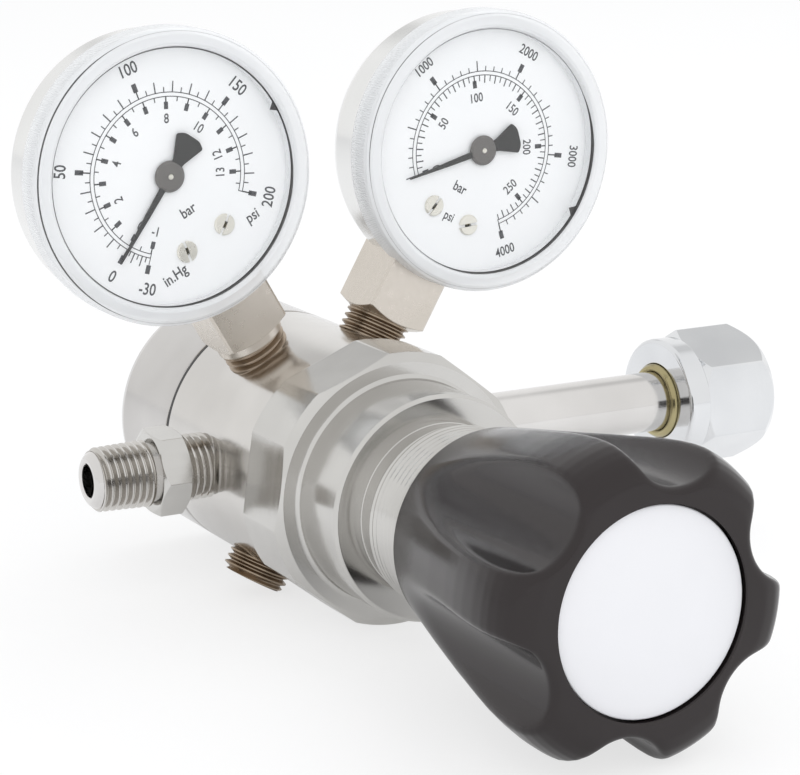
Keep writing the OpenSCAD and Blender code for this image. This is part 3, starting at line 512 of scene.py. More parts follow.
def bonnet_profile(angle):
    """The ring's front edge is a cone, so it is cut deeper at the corners between its flats."""
    wall = min(RING_R, flat_radius(angle, RING_FLAT, RING_TURN))
    slope = RING_CHAMFER / (RING_R - RING_FLAT + 0.5)
    top = RING_FRONT - RING_CHAMFER + (RING_R - wall) * slope
    return rounded([
        (24.0, BODY_FRONT), (wall, BODY_FRONT), (wall, top), (RING_FLAT - 0.5, RING_FRONT),
        (BARREL_R, RING_FRONT), (BARREL_R, BARREL_FRONT - BARREL_CHAMFER),
        (BARREL_R - BARREL_CHAMFER, BARREL_FRONT), (RELIEF_R, BARREL_FRONT),
        (RELIEF_R, RELIEF_FRONT - 0.9), (RELIEF_R + 0.3, RELIEF_FRONT + 0.3),
        (15.6, RELIEF_FRONT + 0.3)],
        [0, 0.3, 0.15, 0.15, 0.9, 0.25, 0.25, 0.25, 0.3, 0.1, 0])


half_round = degrees(acos(RING_FLAT / RING_R))
ring_edges = [RING_TURN + 60 * i + side * half_round for i in range(6) for side in (-1, 1)]
bonnet_shell = lathe("bonnet_shell", bonnet_profile, K, "regulator", [steel_bonnet], 240,
                     extra=ring_edges)
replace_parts(bonnet_shell, "bonnet")


def sleeve_crest(z):
    bevel = PANEL_R - PANEL_BEVEL
    return min(PANEL_R, bevel + (z - RELIEF_FRONT), bevel + (PANEL_FRONT - z))


thread("sleeve_thread", sleeve_crest, RELIEF_FRONT, PANEL_FRONT, PIPE_PITCH, PANEL_DEPTH, K,
       "regulator", [steel_bonnet, steel_bonnet], 144)
lathe("sleeve_end", round_shape([(PANEL_R - PANEL_BEVEL, PANEL_FRONT), (6.0, PANEL_FRONT)], 0),
      K, "regulator", [steel_bonnet], 144)


# Knob

# Height and radius of the outline over the lobes; EDGE is how far two faces blend where they meet
ENVELOPE = [
    (60.0, 17.9), (68.3, 19.6), (72.2, 20.55), (81.6, 22.9), (90.7, 25.05), (99.6, 26.95),
    (104.0, 27.8), (107.8, 28.35), (111.5, 28.68), (114.3, 28.7), (116.2, 28.5), (118.1, 27.95),
    (119.6, 27.2), (120.7, 26.2), (121.5, 25.1), (121.9, 24.0), (130.0, 14.0)]
ENVELOPE_AT = [point[0] for point in ENVELOPE]
ENVELOPE_R = [point[1] for point in ENVELOPE]
FLUTE_EDGE = 1.5
FACE_EDGE = 1.6
REAR_EDGE = 1.2


def smooth_max(a, b, k):
    """The larger of two fields, blended where they are closer than k."""
    h = np.maximum(k - np.abs(a - b), 0.0) / k
    return np.maximum(a, b) + h * h * k * 0.25


def knob_field(r, s, a):
    """Below zero inside the knob's outside; a is the polar angle in radians."""
    step = 2 * pi / KNOB_LOBES
    off = (a - radians(FLUTE_TURN) + step / 2) % step - step / 2
    share = (s - KNOB_REAR) / (KNOB_FRONT - KNOB_REAR)
    axis_at = FLUTE_REAR + FLUTE_R + (FLUTE_FRONT - FLUTE_REAR) * share
    away = np.sqrt(r * r + axis_at * axis_at - 2 * r * axis_at * np.cos(off))
    side = r - np.interp(s, ENVELOPE_AT, ENVELOPE_R)
    field = smooth_max(side, FLUTE_R - away, FLUTE_EDGE)
    field = smooth_max(field, s - KNOB_FRONT, FACE_EDGE)
    return smooth_max(field, KNOB_REAR - s, REAR_EDGE)


def knob_shell():
    """The knob's skin, found along rays from inside: level ones, then a fan over the front edge."""
    columns = 480
    halvings = 40
    rim_end = 69.5
    turn_at = 112.0
    a = np.linspace(0, 2 * pi, columns, endpoint=False)[None, :]
    heights = np.concatenate([np.linspace(KNOB_REAR - 0.0005, rim_end, 14)[:-1],
                              np.linspace(rim_end, turn_at, 60)])
    fan = np.radians(np.linspace(0, 64.8, 46)[1:])
    start_r = np.concatenate([np.full(len(heights), 10.0), np.full(len(fan), 14.0)])[:, None]
    start_s = np.concatenate([heights, np.full(len(fan), turn_at)])[:, None]
    step_r = np.concatenate([np.ones(len(heights)), np.cos(fan)])[:, None]
    step_s = np.concatenate([np.zeros(len(heights)), np.sin(fan)])[:, None]
    low = np.zeros((len(start_r), columns))
    high = np.full((len(start_r), columns), 22.0)
    for _ in range(halvings):
        mid = (low + high) / 2
        outside = knob_field(start_r + step_r * mid, start_s + step_s * mid, a + 0 * mid) > 0
        high = np.where(outside, mid, high)
        low = np.where(outside, low, mid)
    r = start_r + step_r * low
    s = start_s + step_s * low + 0 * r
    rim = [(SKIRT_BORE, 86.5), (SKIRT_BORE, KNOB_REAR + 0.4), (SKIRT_BORE + 0.35, KNOB_REAR + 0.03)]
    recess = [(19.15, KNOB_FRONT - 0.12), (RECESS_R, KNOB_FRONT - 0.5), (RECESS_R, DISC_FLOOR),
              (0.0, DISC_FLOOR)]
    rows = [(np.full(columns, pr), np.full(columns, ps)) for pr, ps in rim]
    rows += list(zip(r, s))
    rows += [(np.full(columns, pr), np.full(columns, ps)) for pr, ps in recess]
    flat_a = a[0]
    verts = [(row_r[j] * cos(flat_a[j]), row_r[j] * sin(flat_a[j]), row_s[j])
             for row_r, row_s in rows for j in range(columns)]
    faces = [(i * columns + j, i * columns + (j + 1) % columns,
              (i + 1) * columns + (j + 1) % columns, (i + 1) * columns + j)
             for i in range(len(rows) - 1) for j in range(columns)]
    return finish_mesh("knob_shell", verts, faces, K, "hand_knob", [black], None, 40.0)


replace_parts(knob_shell(), "knob")
disc = lathe("face_disc", round_shape([
    (0.0, DISC_FLOOR + DISC_T), (DISC_R, DISC_FLOOR + DISC_T), (DISC_R, DISC_FLOOR)], [0, 0.25, 0]),
    K, "hand_knob", [white_disc], 192)
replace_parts(disc, "knob_disc")


# Outlet nipple, plugs and gauge stems

def tapered(z0, r0, z1, r1):
    return lambda z: r0 + (r1 - r0) * (z - z0) / (z1 - z0)


def soft_reach(flats, soften):
    """Angle from a corner to where its rounding meets the flat."""
    return radians(30) - atan2((flats / 2 - soften) * tan(radians(30)), flats / 2)


def hex_wall(angle, flats, turn_by, soften):
    """Distance from the axis to a hexagon whose corners are rounded by soften."""
    off = radians((angle - turn_by + 30) % 60 - 30)
    centre = (flats / 2 - soften) / cos(radians(30))
    if abs(off) < soft_reach(flats, soften):
        return centre * cos(off) + sqrt(soften ** 2 - (centre * sin(off)) ** 2)
    return flats / 2 / cos(radians(30) - abs(off))


def hex_corners(turn_by, reach=0.0):
    """Directions that a hexagon's mesh needs at its corners, up to reach radians off them."""
    return [turn_by + 60 * i + degrees(reach) * share
            for i in range(6) for share in (-1, -0.5, 0, 0.5, 1)]


def nipple_profile(angle):
    """Chamfered hexagon, cut by a cone at each end."""
    wall = hex_wall(angle, NIPPLE_FLATS, NIPPLE_TURN, NIPPLE_SOFT)
    corner = NIPPLE_FLATS / sqrt(3)
    cut = 0.05 + 0.75 * (wall - NIPPLE_FLATS / 2) / (corner - NIPPLE_FLATS / 2)
    return rounded([
        (5.0, HEX_BACK), (NIPPLE_FLATS / 2 - 0.2, HEX_BACK), (wall, HEX_BACK + cut),
        (wall, HEX_FRONT - cut), (NIPPLE_FLATS / 2 - 0.2, HEX_FRONT), (5.0, HEX_FRONT)],
        [0, 0.1, 0.12, 0.12, 0.1, 0])


OUT = port_frame(180)
nipple_hex = lathe("nipple_hex", nipple_profile, OUT, "regulator", [steel_bonnet], 120,
                   extra=hex_corners(NIPPLE_TURN, soft_reach(NIPPLE_FLATS, NIPPLE_SOFT)))
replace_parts(nipple_hex, "outlet_nipple")


def outlet_crest(z):
    """Pipe taper of 1 in 16 on the diameter, and a bevel at the tip."""
    return min(PIPE_CREST - (z - HEX_FRONT) / 32, 4.6 + (OUTLET_TIP - z) * 0.95)


# The outlet threads lay the darker root steel on their grooves as painted shade.
thread("outlet_thread", outlet_crest, HEX_FRONT + 1.0, OUTLET_TIP - 1.3, PIPE_PITCH, OUTLET_DEPTH,
       OUT, "regulator", [steel_pipe, groove_shade_steel])
lathe("outlet_tip", round_shape([
    (5.3, OUTLET_TIP - 1.9), (5.75, OUTLET_TIP - 1.4), (5.0, OUTLET_TIP - 0.4), (4.3, OUTLET_TIP),
    (OUTLET_BORE + 0.3, OUTLET_TIP), (OUTLET_BORE, OUTLET_TIP - 0.3), (OUTLET_BORE, 16.0)],
    [0, 0.2, 0.5, 0.5, 0.1, 0.1, 0]), OUT, "regulator", [steel_pipe], 96)
lathe("outlet_neck", round_shape([
    (5.9, HEX_FRONT - 0.1), (5.9, HEX_FRONT + 1.0), (5.75, HEX_FRONT + 1.6)], 0.2),
    OUT, "regulator", [steel_pipe], 96)
# Its grooves also take the darker root steel, as painted shade.
thread("outlet_back_thread", tapered(PORT_FLOOR, 6.45, 31.0, 6.7), PORT_FLOOR, HEX_BACK + 0.3,
       PIPE_PITCH, PIPE_DEPTH, OUT, "regulator", [steel_pipe, groove_shade_steel])


def plug_crest(z):
    return min(PIPE_CREST, 5.8 + (PLUG_TOP - z))


def hex_socket(angle):
    return flat_radius(angle, PLUG_SOCKET / 2, 30)


def make_plug(name, node, angle):
    where = port_frame(angle)
    piece = thread(name, plug_crest, PORT_FLOOR, PLUG_TOP, PIPE_PITCH, PIPE_DEPTH, where,
                   "regulator", [brown_thread, brown_thread])
    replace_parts(piece, node)
    lathe(name + "_face", lambda a: rounded([
        (5.8, PLUG_TOP), (hex_socket(a) + 0.25, PLUG_TOP), (hex_socket(a), PLUG_TOP - 0.3),
        (hex_socket(a), PLUG_TOP - 5.0), (0.0, PLUG_TOP - 5.4)], 0.08),
        where, "regulator", [brown_thread], 96, extra=hex_corners(0))


make_plug("plug_low", "port_plug_low", 240)
make_plug("plug_high", "port_plug_high", 300)


def square_profile(angle):
    """Square stem with turned corners; its lower end is cut by a cone."""
    wall = min(STEM_CORNER, flat_radius(angle, STEM_HALF, 0, 4))
    grow = max(0.0, (wall - STEM_HALF) / (STEM_CORNER - STEM_HALF))
    return rounded([
        (3.0, STEM_BOTTOM), (STEM_HALF - 0.3, STEM_BOTTOM), (wall, STEM_BOTTOM + 0.1 + 1.1 * grow),
        (wall, STEM_TOP), (3.0, STEM_TOP)], [0, 0.1, 0.2, 0.2, 0])


half_corner = 45 - degrees(acos(STEM_HALF / STEM_CORNER))
square_edges = [90 * i + 45 + side * half_corner for i in range(4) for side in (-1, 1)]


def make_stem(side, tilt, collar_drop):
    """Square, the turned collar that shows under it by collar_drop, and the thread."""
    where = stem_frame(tilt)
    block = lathe(side + "_stem_square", square_profile, where, "regulator", [nickel], 120,
                  extra=square_edges)
    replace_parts(block, side + "_gauge_stem")
    lathe(side + "_stem_collar", round_shape([
        (6.2, STEM_BOTTOM - collar_drop), (6.95, STEM_BOTTOM - collar_drop + 0.5),
        (6.95, STEM_BOTTOM + 0.2)], [0, 0.3, 0]), where, "regulator", [nickel], 96)
    thread(side + "_stem_thread", tapered(PORT_FLOOR, 6.4, 30.0, 6.7), PORT_FLOOR,
           STEM_BOTTOM + 0.3, PIPE_PITCH, PIPE_DEPTH, where, "regulator",
           [brown_thread, brown_thread])


# Inlet pipe and swivel nut

IN = port_frame(0)
pipe = lathe("inlet_pipe", round_shape([
    (6.3, 22.0), (6.5, 23.0), (6.5, 90.0), (9.6, 90.0), (9.6, 93.7), (4.0, 93.7), (4.0, 92.7)],
    [0, 0.1, 0.1, 0.4, 0.4, 0.1, 0]), IN, "regulator", [steel_pipe], 160)
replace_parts(pipe, "inlet_nipple")


def nut_profile(angle):
    """Hexagon with a cone cut at each end; its back sinks into the collar."""
    wall = hex_wall(angle, NUT_FLATS, NUT_TURN, NUT_SOFT)
    corner = NUT_FLATS / sqrt(3)
    slope = 1.2 / (corner - COLLAR_R)
    front = NUT_FRONT - 3.0 * (wall - NUT_FLATS / 2 + 0.3) / (corner - NUT_FLATS / 2 + 0.3)
    return rounded([
        (12.0, NUT_HEX_BACK + (12.0 - COLLAR_R) * slope),
        (wall, NUT_HEX_BACK + (wall - COLLAR_R) * slope), (wall, front),
        (NUT_FLATS / 2 - 0.3, NUT_FRONT), (NUT_BORE + 0.9, NUT_FRONT),
        (NUT_BORE, NUT_FRONT - 0.9), (NUT_BORE, NUT_SEAT), (6.6, NUT_SEAT)],
        [0, 0.12, 0.3, 0.25, 0.1, 0.1, 0.1, 0])


nut = lathe("swivel_nut_shell", nut_profile, IN, "swivel_nut", [steel_nut], 180,
            extra=hex_corners(NUT_TURN, soft_reach(NUT_FLATS, NUT_SOFT)))
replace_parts(nut, "inlet_nut")
lathe("swivel_nut_collar", round_shape([
    (8.2, NUT_BACK + 1.6), (8.2, NUT_BACK), (COLLAR_R, NUT_BACK), (COLLAR_R, NUT_HEX_BACK),
    (12.6, NUT_HEX_BACK)], [0, 0.2, 1.0, 0.15, 0]), IN, "swivel_nut", [steel_nut], 160)


def nut_crest(z):
    return max(9.75, NUT_BORE + 0.5 - (NUT_FRONT - z))


# The nut thread lays the darker thread steel on its grooves as painted shade.
thread("swivel_nut_thread", nut_crest, 96.6, NUT_FRONT - 0.3, NUT_PITCH, NUT_DEPTH, IN,
       "swivel_nut", [steel_nut, nut_groove_shade_steel], inner=True)
ring = lathe("swivel_ring_shell", round_shape([
    (6.6, RING_END), (6.6, RING_BACK + 0.3), (7.0, RING_BACK), (7.55, RING_BACK),
    (8.1, RING_BACK + 0.8), (8.1, RING_END)], [0, 0.1, 0.4, 0.7, 0.7, 0]),
    IN, "swivel_ring", [brass], 128)
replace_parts(ring, "inlet_ring")


# Gauges

# Clock directions are in degrees clockwise from a dial's top
SCALE_START = 225.0
SCALE_END = 495.0
LOW_ZERO = 243.5
ARC_OUT = 15.95
ARC_IN = 15.15
ARC_STEP = 1.5
HAIRLINE = 0.17
TICK_LONG = 0.25
TICK_SHORT = 0.21
LETTER_WIDTH = 0.82
LETTER_WEIGHT = 0.012
PSI_PER_BAR = 14.504


def polar(clock, r):
    return r * sin(radians(clock)), r * cos(radians(clock))


class Print:
    """Flat printed marks, in dial millimetres."""

    def __init__(self):
        self.verts = []
        self.faces = []

    def quad(self, corners):
        base = len(self.verts)
        self.verts += [(x, y, PRINT_FACE) for x, y in corners]
        self.faces.append(tuple(range(base, base + len(corners))))

    def tick(self, clock, r0, r1, width):
        x, y = sin(radians(clock)), cos(radians(clock))
        half = width / 2
        self.quad([(x * r0 + y * half, y * r0 - x * half), (x * r1 + y * half, y * r1 - x * half),
                   (x * r1 - y * half, y * r1 + x * half), (x * r0 - y * half, y * r0 + x * half)])

    def arc(self, r, width, start, end):
        count = int((end - start) / ARC_STEP) + 1
        for i in range(count):
            a = start + (end - start) * i / count
            b = start + (end - start) * (i + 1) / count
            self.quad([polar(a, r - width / 2), polar(b, r - width / 2),
                       polar(b, r + width / 2), polar(a, r + width / 2)])

    def words(self, text, x, y, size, angle=0.0):
        curve = bpy.data.curves.new("words", "FONT")
        curve.body = text
        curve.align_x = "CENTER"
        curve.align_y = "CENTER"
        curve.resolution_u = 3
        curve.offset = LETTER_WEIGHT
        carrier = bpy.data.objects.new("words", curve)
        bpy.context.scene.collection.objects.link(carrier)
        bpy.context.view_layer.update()
        flat = bpy.data.meshes.new_from_object(
            carrier.evaluated_get(bpy.context.evaluated_depsgraph_get()))
        c, s = cos(radians(-angle)), sin(radians(-angle))
        base = len(self.verts)
        for v in flat.vertices:
            px, py = v.co.x * size * LETTER_WIDTH, v.co.y * size
            self.verts.append((x + px * c - py * s, y + px * s + py * c, PRINT_FACE))
        self.faces += [tuple(base + i for i in p.vertices) for p in flat.polygons]
        bpy.data.objects.remove(carrier)
        bpy.data.curves.remove(curve)
        bpy.data.meshes.remove(flat)

    def number(self, text, clock, r, size):
        """Figures turned with the scale, and never upside down."""
        x, y = polar(clock, r)
        lower = 90 < clock % 360 < 270
        self.words(text, x, y, size, clock - 180 if lower else clock)


def frame_arcs(marks):
    marks.arc(ARC_OUT, HAIRLINE, SCALE_START, SCALE_END)
    marks.arc(ARC_IN, HAIRLINE, SCALE_START, SCALE_END)
    for clock in (SCALE_START, SCALE_END):
        marks.tick(clock, ARC_IN - 0.1, ARC_OUT + 0.1, HAIRLINE)


def scale_ticks(marks, clock_of, values, base, short, long, every, sign):
    """Ticks at values; each one that divides by every is long. Sign 1 is outward."""
    for value in values:
        big = abs(value / every - round(value / every)) < TINY
        reach = long if big else short
        marks.tick(clock_of(value), base, base + sign * reach, TICK_LONG if big else TICK_SHORT)


def block(marks, clock, base, sign, reach, long, width):
    """A heavy mark at the end of a hairline of length reach."""
    marks.tick(clock, base, base + sign * reach, HAIRLINE)
    marks.tick(clock, base + sign * reach, base + sign * (reach + long), width)


def low_print():
    """Vacuum and 200 psi outside, bar inside."""
    marks = Print()
    frame_arcs(marks)
    per_psi = (SCALE_END - LOW_ZERO) / 200

    def psi(value):
        return LOW_ZERO + per_psi * value

    def vacuum(value):
        return LOW_ZERO - (LOW_ZERO - SCALE_START) * value / 30

    def bar(value):
        return psi(value * PSI_PER_BAR)

    scale_ticks(marks, psi, range(0, 201, 5), ARC_OUT, 1.0, 2.1, 10, 1)
    scale_ticks(marks, vacuum, range(5, 30, 5), ARC_OUT, 1.0, 2.0, 10, 1)
    for value in (0, 50, 100, 150, 200):
        block(marks, psi(value), ARC_OUT, 1, 1.4, 1.7, 0.95)
        marks.number(str(value), psi(value), 21.9, 3.3)
    block(marks, SCALE_START, ARC_OUT, 1, 1.4, 1.7, 0.95)
    marks.number("-30", SCALE_START - 2, 22.0, 3.3)
    scale_ticks(marks, bar, [v / 2 for v in range(-2, 28)], ARC_IN, 0.9, 1.2, 1, -1)
    for value in range(-1, 14):
        block(marks, max(SCALE_START, bar(value)), ARC_IN, -1, 1.0, 1.4, 0.85)
    for value in (-1, 0, 2, 4, 6, 8, 10, 12, 13):
        marks.number(str(value), max(SCALE_START, bar(value)), 10.9, 2.6)
    marks.words("bar", -0.1, -8.0, 3.0)
    marks.words("psi", 10.6, -16.6, 3.1)
    marks.words("in.Hg", -8.8, -17.2, 3.1)
    return marks


def high_print():
    """4000 psi outside, bar inside."""
    marks = Print()
    frame_arcs(marks)
    per_psi = (SCALE_END - SCALE_START) / 4000

    def psi(value):
        return SCALE_START + per_psi * value

    def bar(value):
        return psi(value * PSI_PER_BAR)

    scale_ticks(marks, psi, range(0, 4001, 100), ARC_OUT, 1.0, 2.1, 500, 1)
    for value in (1000, 2000, 3000, 4000):
        block(marks, psi(value), ARC_OUT, 1, 1.6, 1.7, 0.95)
        marks.number(str(value), psi(value), 21.9, 2.8)
    scale_ticks(marks, bar, range(0, 276, 5), ARC_IN, 1.2, 1.6, 10, -1)
    for value in (50, 100, 150, 200, 250):
        block(marks, bar(value), ARC_IN, -1, 1.0, 1.5, 0.9)
        marks.number(str(value), bar(value), 10.6, 2.6)
    block(marks, psi(0), ARC_IN, -1, 1.0, 1.4, 0.85)
    marks.number("0", psi(0), 11.0, 2.6)
    marks.words("bar", -0.7, -8.9, 2.9)
    marks.words("psi", -0.1, -15.0, 2.7)
    return marks


def outline_solid(name, outline, low, high, where, body, mats):
    """A thin flat plate from a closed outline."""
    count = len(outline)
    verts = [(x, y, low) for x, y in outline] + [(x, y, high) for x, y in outline]
    faces = [tuple(range(count - 1, -1, -1)), tuple(range(count, 2 * count))]
    faces += [(i, (i + 1) % count, (i + 1) % count + count, i + count) for i in range(count)]
    return finish_mesh(name, verts, faces, where, body, mats)


def pointer_outline(length):
    """Thin hand with a fan-shaped tail."""
    fan = rounded([(-0.95, -2.0), (-1.25, -3.4), (-3.15, -7.7), (-1.7, -8.65), (1.7, -8.65),
                   (3.15, -7.7), (1.25, -3.4), (0.95, -2.0)],
                  [0, 0.8, 0.5, 2.2, 2.2, 0.5, 0.8, 0])
    return fan + [(0.62, 2.0), (0.5, length * 0.45), (0.13, length), (-0.13, length),
                  (-0.5, length * 0.45), (-0.62, 2.0)]


# Each window's dark lines: the seal line is thin as a share of its full width, the rim line has a
# half width in millimetres. Both widen between two clock directions as painted shade, and the seal
# has a tab at one; the rim line itself is painted shade on the ring's bevel.
SEAL_AND_SHADE_LINES = {
    "low": {"thin": 0.5, "start": 130, "end": 190, "tab": 90},
    "high": {"thin": 0.03, "start": 60, "end": 160, "tab": 94},
}
# Rim lines: painted shade on each ring's bevel, wider between start and end.
RIM_SHADE_LINES = {
    "low": {"half": 0.02, "more": 0.1, "start": 255, "end": 345},
    "high": {"half": 0.02, "more": 0.04, "start": 250, "end": 290},
}
SHADE_SWELL_FADE = 25.0
SEAL_SHOWN = 0.55
TAB_DEPTH = 1.3
TAB_HALF = 2.5
RIM_BEVEL = 1.3
KNURL = 0.08


def clock_gap(clock, other):
    """Degrees between two clock directions."""
    return abs((clock - other + 180) % 360 - 180)


# The span over which a window's dark lines widen as painted shade.
def swell(clock, start, end):
    """1 between two clock directions, falling to 0 over the fade outside them."""
    off = clock_gap(clock, (start + end) / 2) - (end - start) / 2
    return min(1.0, max(0.0, 1 - off / SHADE_SWELL_FADE))


def ring_profile(angle):
    """Moulded ring around the pane, with a knurled outside."""
    knurl = KNURL * (round(angle * 2) % 2)
    return rounded([
        (GLASS_R, GLASS_BOTTOM), (GLASS_R, SEAL_BOTTOM), (GLASS_R + SEAL_LEAN, SEAL_TOP),
        (GLASS_R + 0.9, WINDOW_FACE), (WINDOW_R - RIM_BEVEL, WINDOW_FACE), (WINDOW_R - 0.25, 11.2),
        (WINDOW_R - knurl, 10.4), (WINDOW_R - knurl, 5.2), (WINDOW_R - 0.35, 4.5),
        (CASE_R + 0.05, 4.5), (CASE_R + 0.05, 8.1), (GLASS_R, 8.1)],
        [0.05, 0.1, 0.3, 0.3, 0.5, 0.3, 0.2, 0.2, 0.15, 0.1, 0.1, 0.1], True)


def bevel_height(r):
    """Height just above the ring's outer bevel."""
    return WINDOW_FACE - (r - WINDOW_R + RIM_BEVEL) * 0.75 + 0.02


def make_window(side, where):
    """Moulded ring, clear pane, the seal seen through the moulding and a painted shade line on the
    bevel; both widen as painted shade.
    """
    seal = SEAL_AND_SHADE_LINES[side]
    rim = RIM_SHADE_LINES[side]
    window = lathe(side + "_window_ring", ring_profile, where, "regulator", [clear_ring], 720, True)
    pane = lathe(side + "_window_pane", round_shape([
        (0.0, SEAL_BOTTOM), (GLASS_R, SEAL_BOTTOM), (GLASS_R, GLASS_BOTTOM), (0.0, GLASS_BOTTOM)],
        0), where, "regulator", [clear_pane], 144)
    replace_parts(window, side + "_gauge_window")

    # The seal is real; its extra width between two clock directions is painted shade.
    def seal_profile(angle):
        clock = 90 - angle
        share = seal["thin"] + (1 - seal["thin"]) * swell(clock, seal["start"], seal["end"])
        tab = max(0.0, 1 - clock_gap(clock, seal["tab"]) / TAB_HALF)
        inner = GLASS_R - 0.05 - (0.16 * share + TAB_DEPTH * tab)
        outer = GLASS_R - 0.03
        rise = (SEAL_TOP - SEAL_BOTTOM) * share * SEAL_SHOWN
        return [(inner, SEAL_BOTTOM + 0.03), (outer, SEAL_BOTTOM + 0.03),
                (outer + SEAL_LEAN * SEAL_SHOWN * share, SEAL_BOTTOM + rise + 0.01)]

    # A thin dark strip on the ring's bevel, wider between two clock directions: painted shade.
    def rim_profile(angle):
        half = rim["half"] + rim["more"] * swell(90 - angle, rim["start"], rim["end"])
        middle = WINDOW_R - 0.75
        return [(r, bevel_height(r)) for r in (middle - half, middle + half)]

    tab_edges = [90 - seal["tab"] + off for off in (-TAB_HALF, -1.2, 0, 1.2, TAB_HALF)]
    line = lathe(side + "_window_seal", seal_profile, where, "regulator", [seam_seal_and_shade_dark], 240,
                 extra=tab_edges)
    edge = lathe(side + "_window_rim_painted_shade", rim_profile, where, "regulator", [seam_seal_and_shade_dark], 240)
    pale = lathe(side + "_window_seal_edge", round_shape([
        (GLASS_R - 0.2, SEAL_BOTTOM + 0.02), (GLASS_R - 0.02, SEAL_BOTTOM + 0.02)], 0), where,
        "regulator", [seal_pale], 240)


def make_dial_screws(side, where):
    """Pale slotted heads, joined in one mesh; each slot has its own turn."""
    verts = []
    faces = []
    count = 48
    half_slot = 0.35
    for x, y, slot_turn in SCREW_PLACES:
        for sign in (-1, 1):
            first = radians(slot_turn) + (0 if sign > 0 else pi)
            lean = acos(half_slot / SCREW_HEAD)
            arc = [first + pi / 2 - lean + 2 * lean * i / count for i in range(count + 1)]
            for r, z in ((SCREW_HEAD, DIAL_FACE), (SCREW_HEAD, DIAL_FACE + 0.3),
                         (SCREW_HEAD - 0.25, DIAL_FACE + 0.5)):
                verts += [(x + r * cos(a), y + r * sin(a), z) for a in arc]
            base = len(verts) - 3 * (count + 1)
            for level in range(2):
                for i in range(count):
                    a = base + level * (count + 1) + i
                    faces.append((a, a + 1, a + count + 2, a + count + 1))
            top = base + 2 * (count + 1)
            faces.append(tuple(range(top, top + count + 1)))
            faces.append((base + count, base, base + count + 1, top, top + count,
                          base + 2 * count + 1))
    heads = finish_mesh(side + "_dial_screw_heads", verts, faces, where, "regulator", [pale_screw])
    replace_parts(heads, side + "_gauge_dial_screws")


def make_gauge(side, tilt, rest, marks, length, collar_drop):
    """One gauge on its stem; rest is the clock direction where its pointer stands."""
    where = dial_frame(tilt)
    make_stem(side, tilt, collar_drop)
    case = lathe(side + "_case_shell", round_shape([
        (0.0, -8.0), (CASE_R - 4.5, -8.0), (CASE_R - 1.3, -6.7), (CASE_R, -3.5), (CASE_R, 8.0),
        (CASE_R - 1.0, 8.0), (CASE_R - 1.0, 0.0)], [0, 3.0, 2.4, 3.0, 0.1, 0.1, 0]),
        where, "regulator", [case_steel], 192)
    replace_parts(case, side + "_gauge_case")
    make_window(side, where)
    make_dial_screws(side, where)
    finish_mesh(side + "_dial_print", marks.verts, marks.faces, where, "regulator", [ink])
    spin = where @ turn(-rest, "Z")
    needle = outline_solid(side + "_pointer_blade", pointer_outline(length), NEEDLE_BOTTOM,
                           DIAL_FACE + 0.95, spin, side + "_pointer", [pointer_paint])
    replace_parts(needle, side + "_gauge_pointer")
    lathe(side + "_pointer_hub", round_shape([
        (0.0, DIAL_FACE + 1.15), (HUB_R - 0.5, DIAL_FACE + 1.15), (HUB_R, DIAL_FACE + 0.75),
        (HUB_R, NEEDLE_BOTTOM)], [0, 0.3, 0.2, 0]), where, side + "_pointer", [hub_grey], 96)
    lathe(side + "_pointer_pin", round_shape([
        (0.0, DIAL_FACE + 1.4), (0.5, DIAL_FACE + 1.35), (0.55, DIAL_FACE + 1.1)], [0, 0.1, 0]),
        where, side + "_pointer", [pale_screw], 32)


make_gauge("low", -GAUGE_TILT, LOW_ZERO, low_print(), 18.9, 1.9)
make_gauge("high", GAUGE_TILT, SCALE_START, high_print(), 17.5, 0.4)


# Floor, light and camera; lengths in metres

CENTRE = Vector((-0.096, -0.02, 0.02))
FLOOR_HALF = 6.0
FLOOR_SHARE = 0.72


def direction(azimuth, elevation):
    """Unit vector; azimuth runs clockwise from +Y, seen from above."""
    a = radians(azimuth)
    e = radians(elevation)
    return Vector((sin(a) * cos(e), cos(a) * cos(e), sin(e)))


def plain_stage(name, corners, mat):
    mesh = bpy.data.meshes.new(name)
    mesh.from_pydata(corners, [], [(0, 1, 2, 3)])
    mesh.materials.append(mat)
    obj = bpy.data.objects.new(name, mesh)
    bpy.context.scene.collection.objects.link(obj)
    return obj


def direct_rays(tree, mirrored):
    """1 for rays from the camera and through clear pieces; mirrored is the value in reflections."""
    path = tree.nodes.new("ShaderNodeLightPath")
    glossy = maths(tree, "MULTIPLY", path.outputs["Is Glossy Ray"], mirrored)
    seen = maths(tree, "MAXIMUM", path.outputs["Is Camera Ray"], glossy)
    return maths(tree, "MAXIMUM", seen, path.outputs["Is Transmission Ray"])


def floor_material():
    """White floor: seen directly it is mostly the backdrop's white, so its shadow stays soft."""
    mat, tree, shader = new_material("studio_floor")
    shader.inputs["Roughness"].default_value = 1.0
    shader.inputs["Specular IOR Level"].default_value = 0.0
    slow = noise(tree, mapped(tree, EVEN), 3.0, 2.0)
    tree.links.new(ramp(tree, slow, (0.955, 0.955, 0.955), (0.965, 0.965, 0.965)),
                   shader.inputs["Base Color"])
    white = tree.nodes.new("ShaderNodeEmission")
    share = maths(tree, "MULTIPLY", direct_rays(tree, 0.5), FLOOR_SHARE)
    mix = tree.nodes.new("ShaderNodeMixShader")
    tree.links.new(share, mix.inputs[0])
    tree.links.new(shader.outputs[0], mix.inputs[1])
    tree.links.new(white.outputs[0], mix.inputs[2])
    tree.links.new(mix.outputs[0], tree.nodes["Material Output"].inputs[0])
    return mat


low_z = cad_box[0][2]
plain_stage("floor", [(-FLOOR_HALF, -FLOOR_HALF, low_z), (FLOOR_HALF, -FLOOR_HALF, low_z),
                      (FLOOR_HALF, FLOOR_HALF, low_z), (-FLOOR_HALF, FLOOR_HALF, low_z)],
            floor_material())


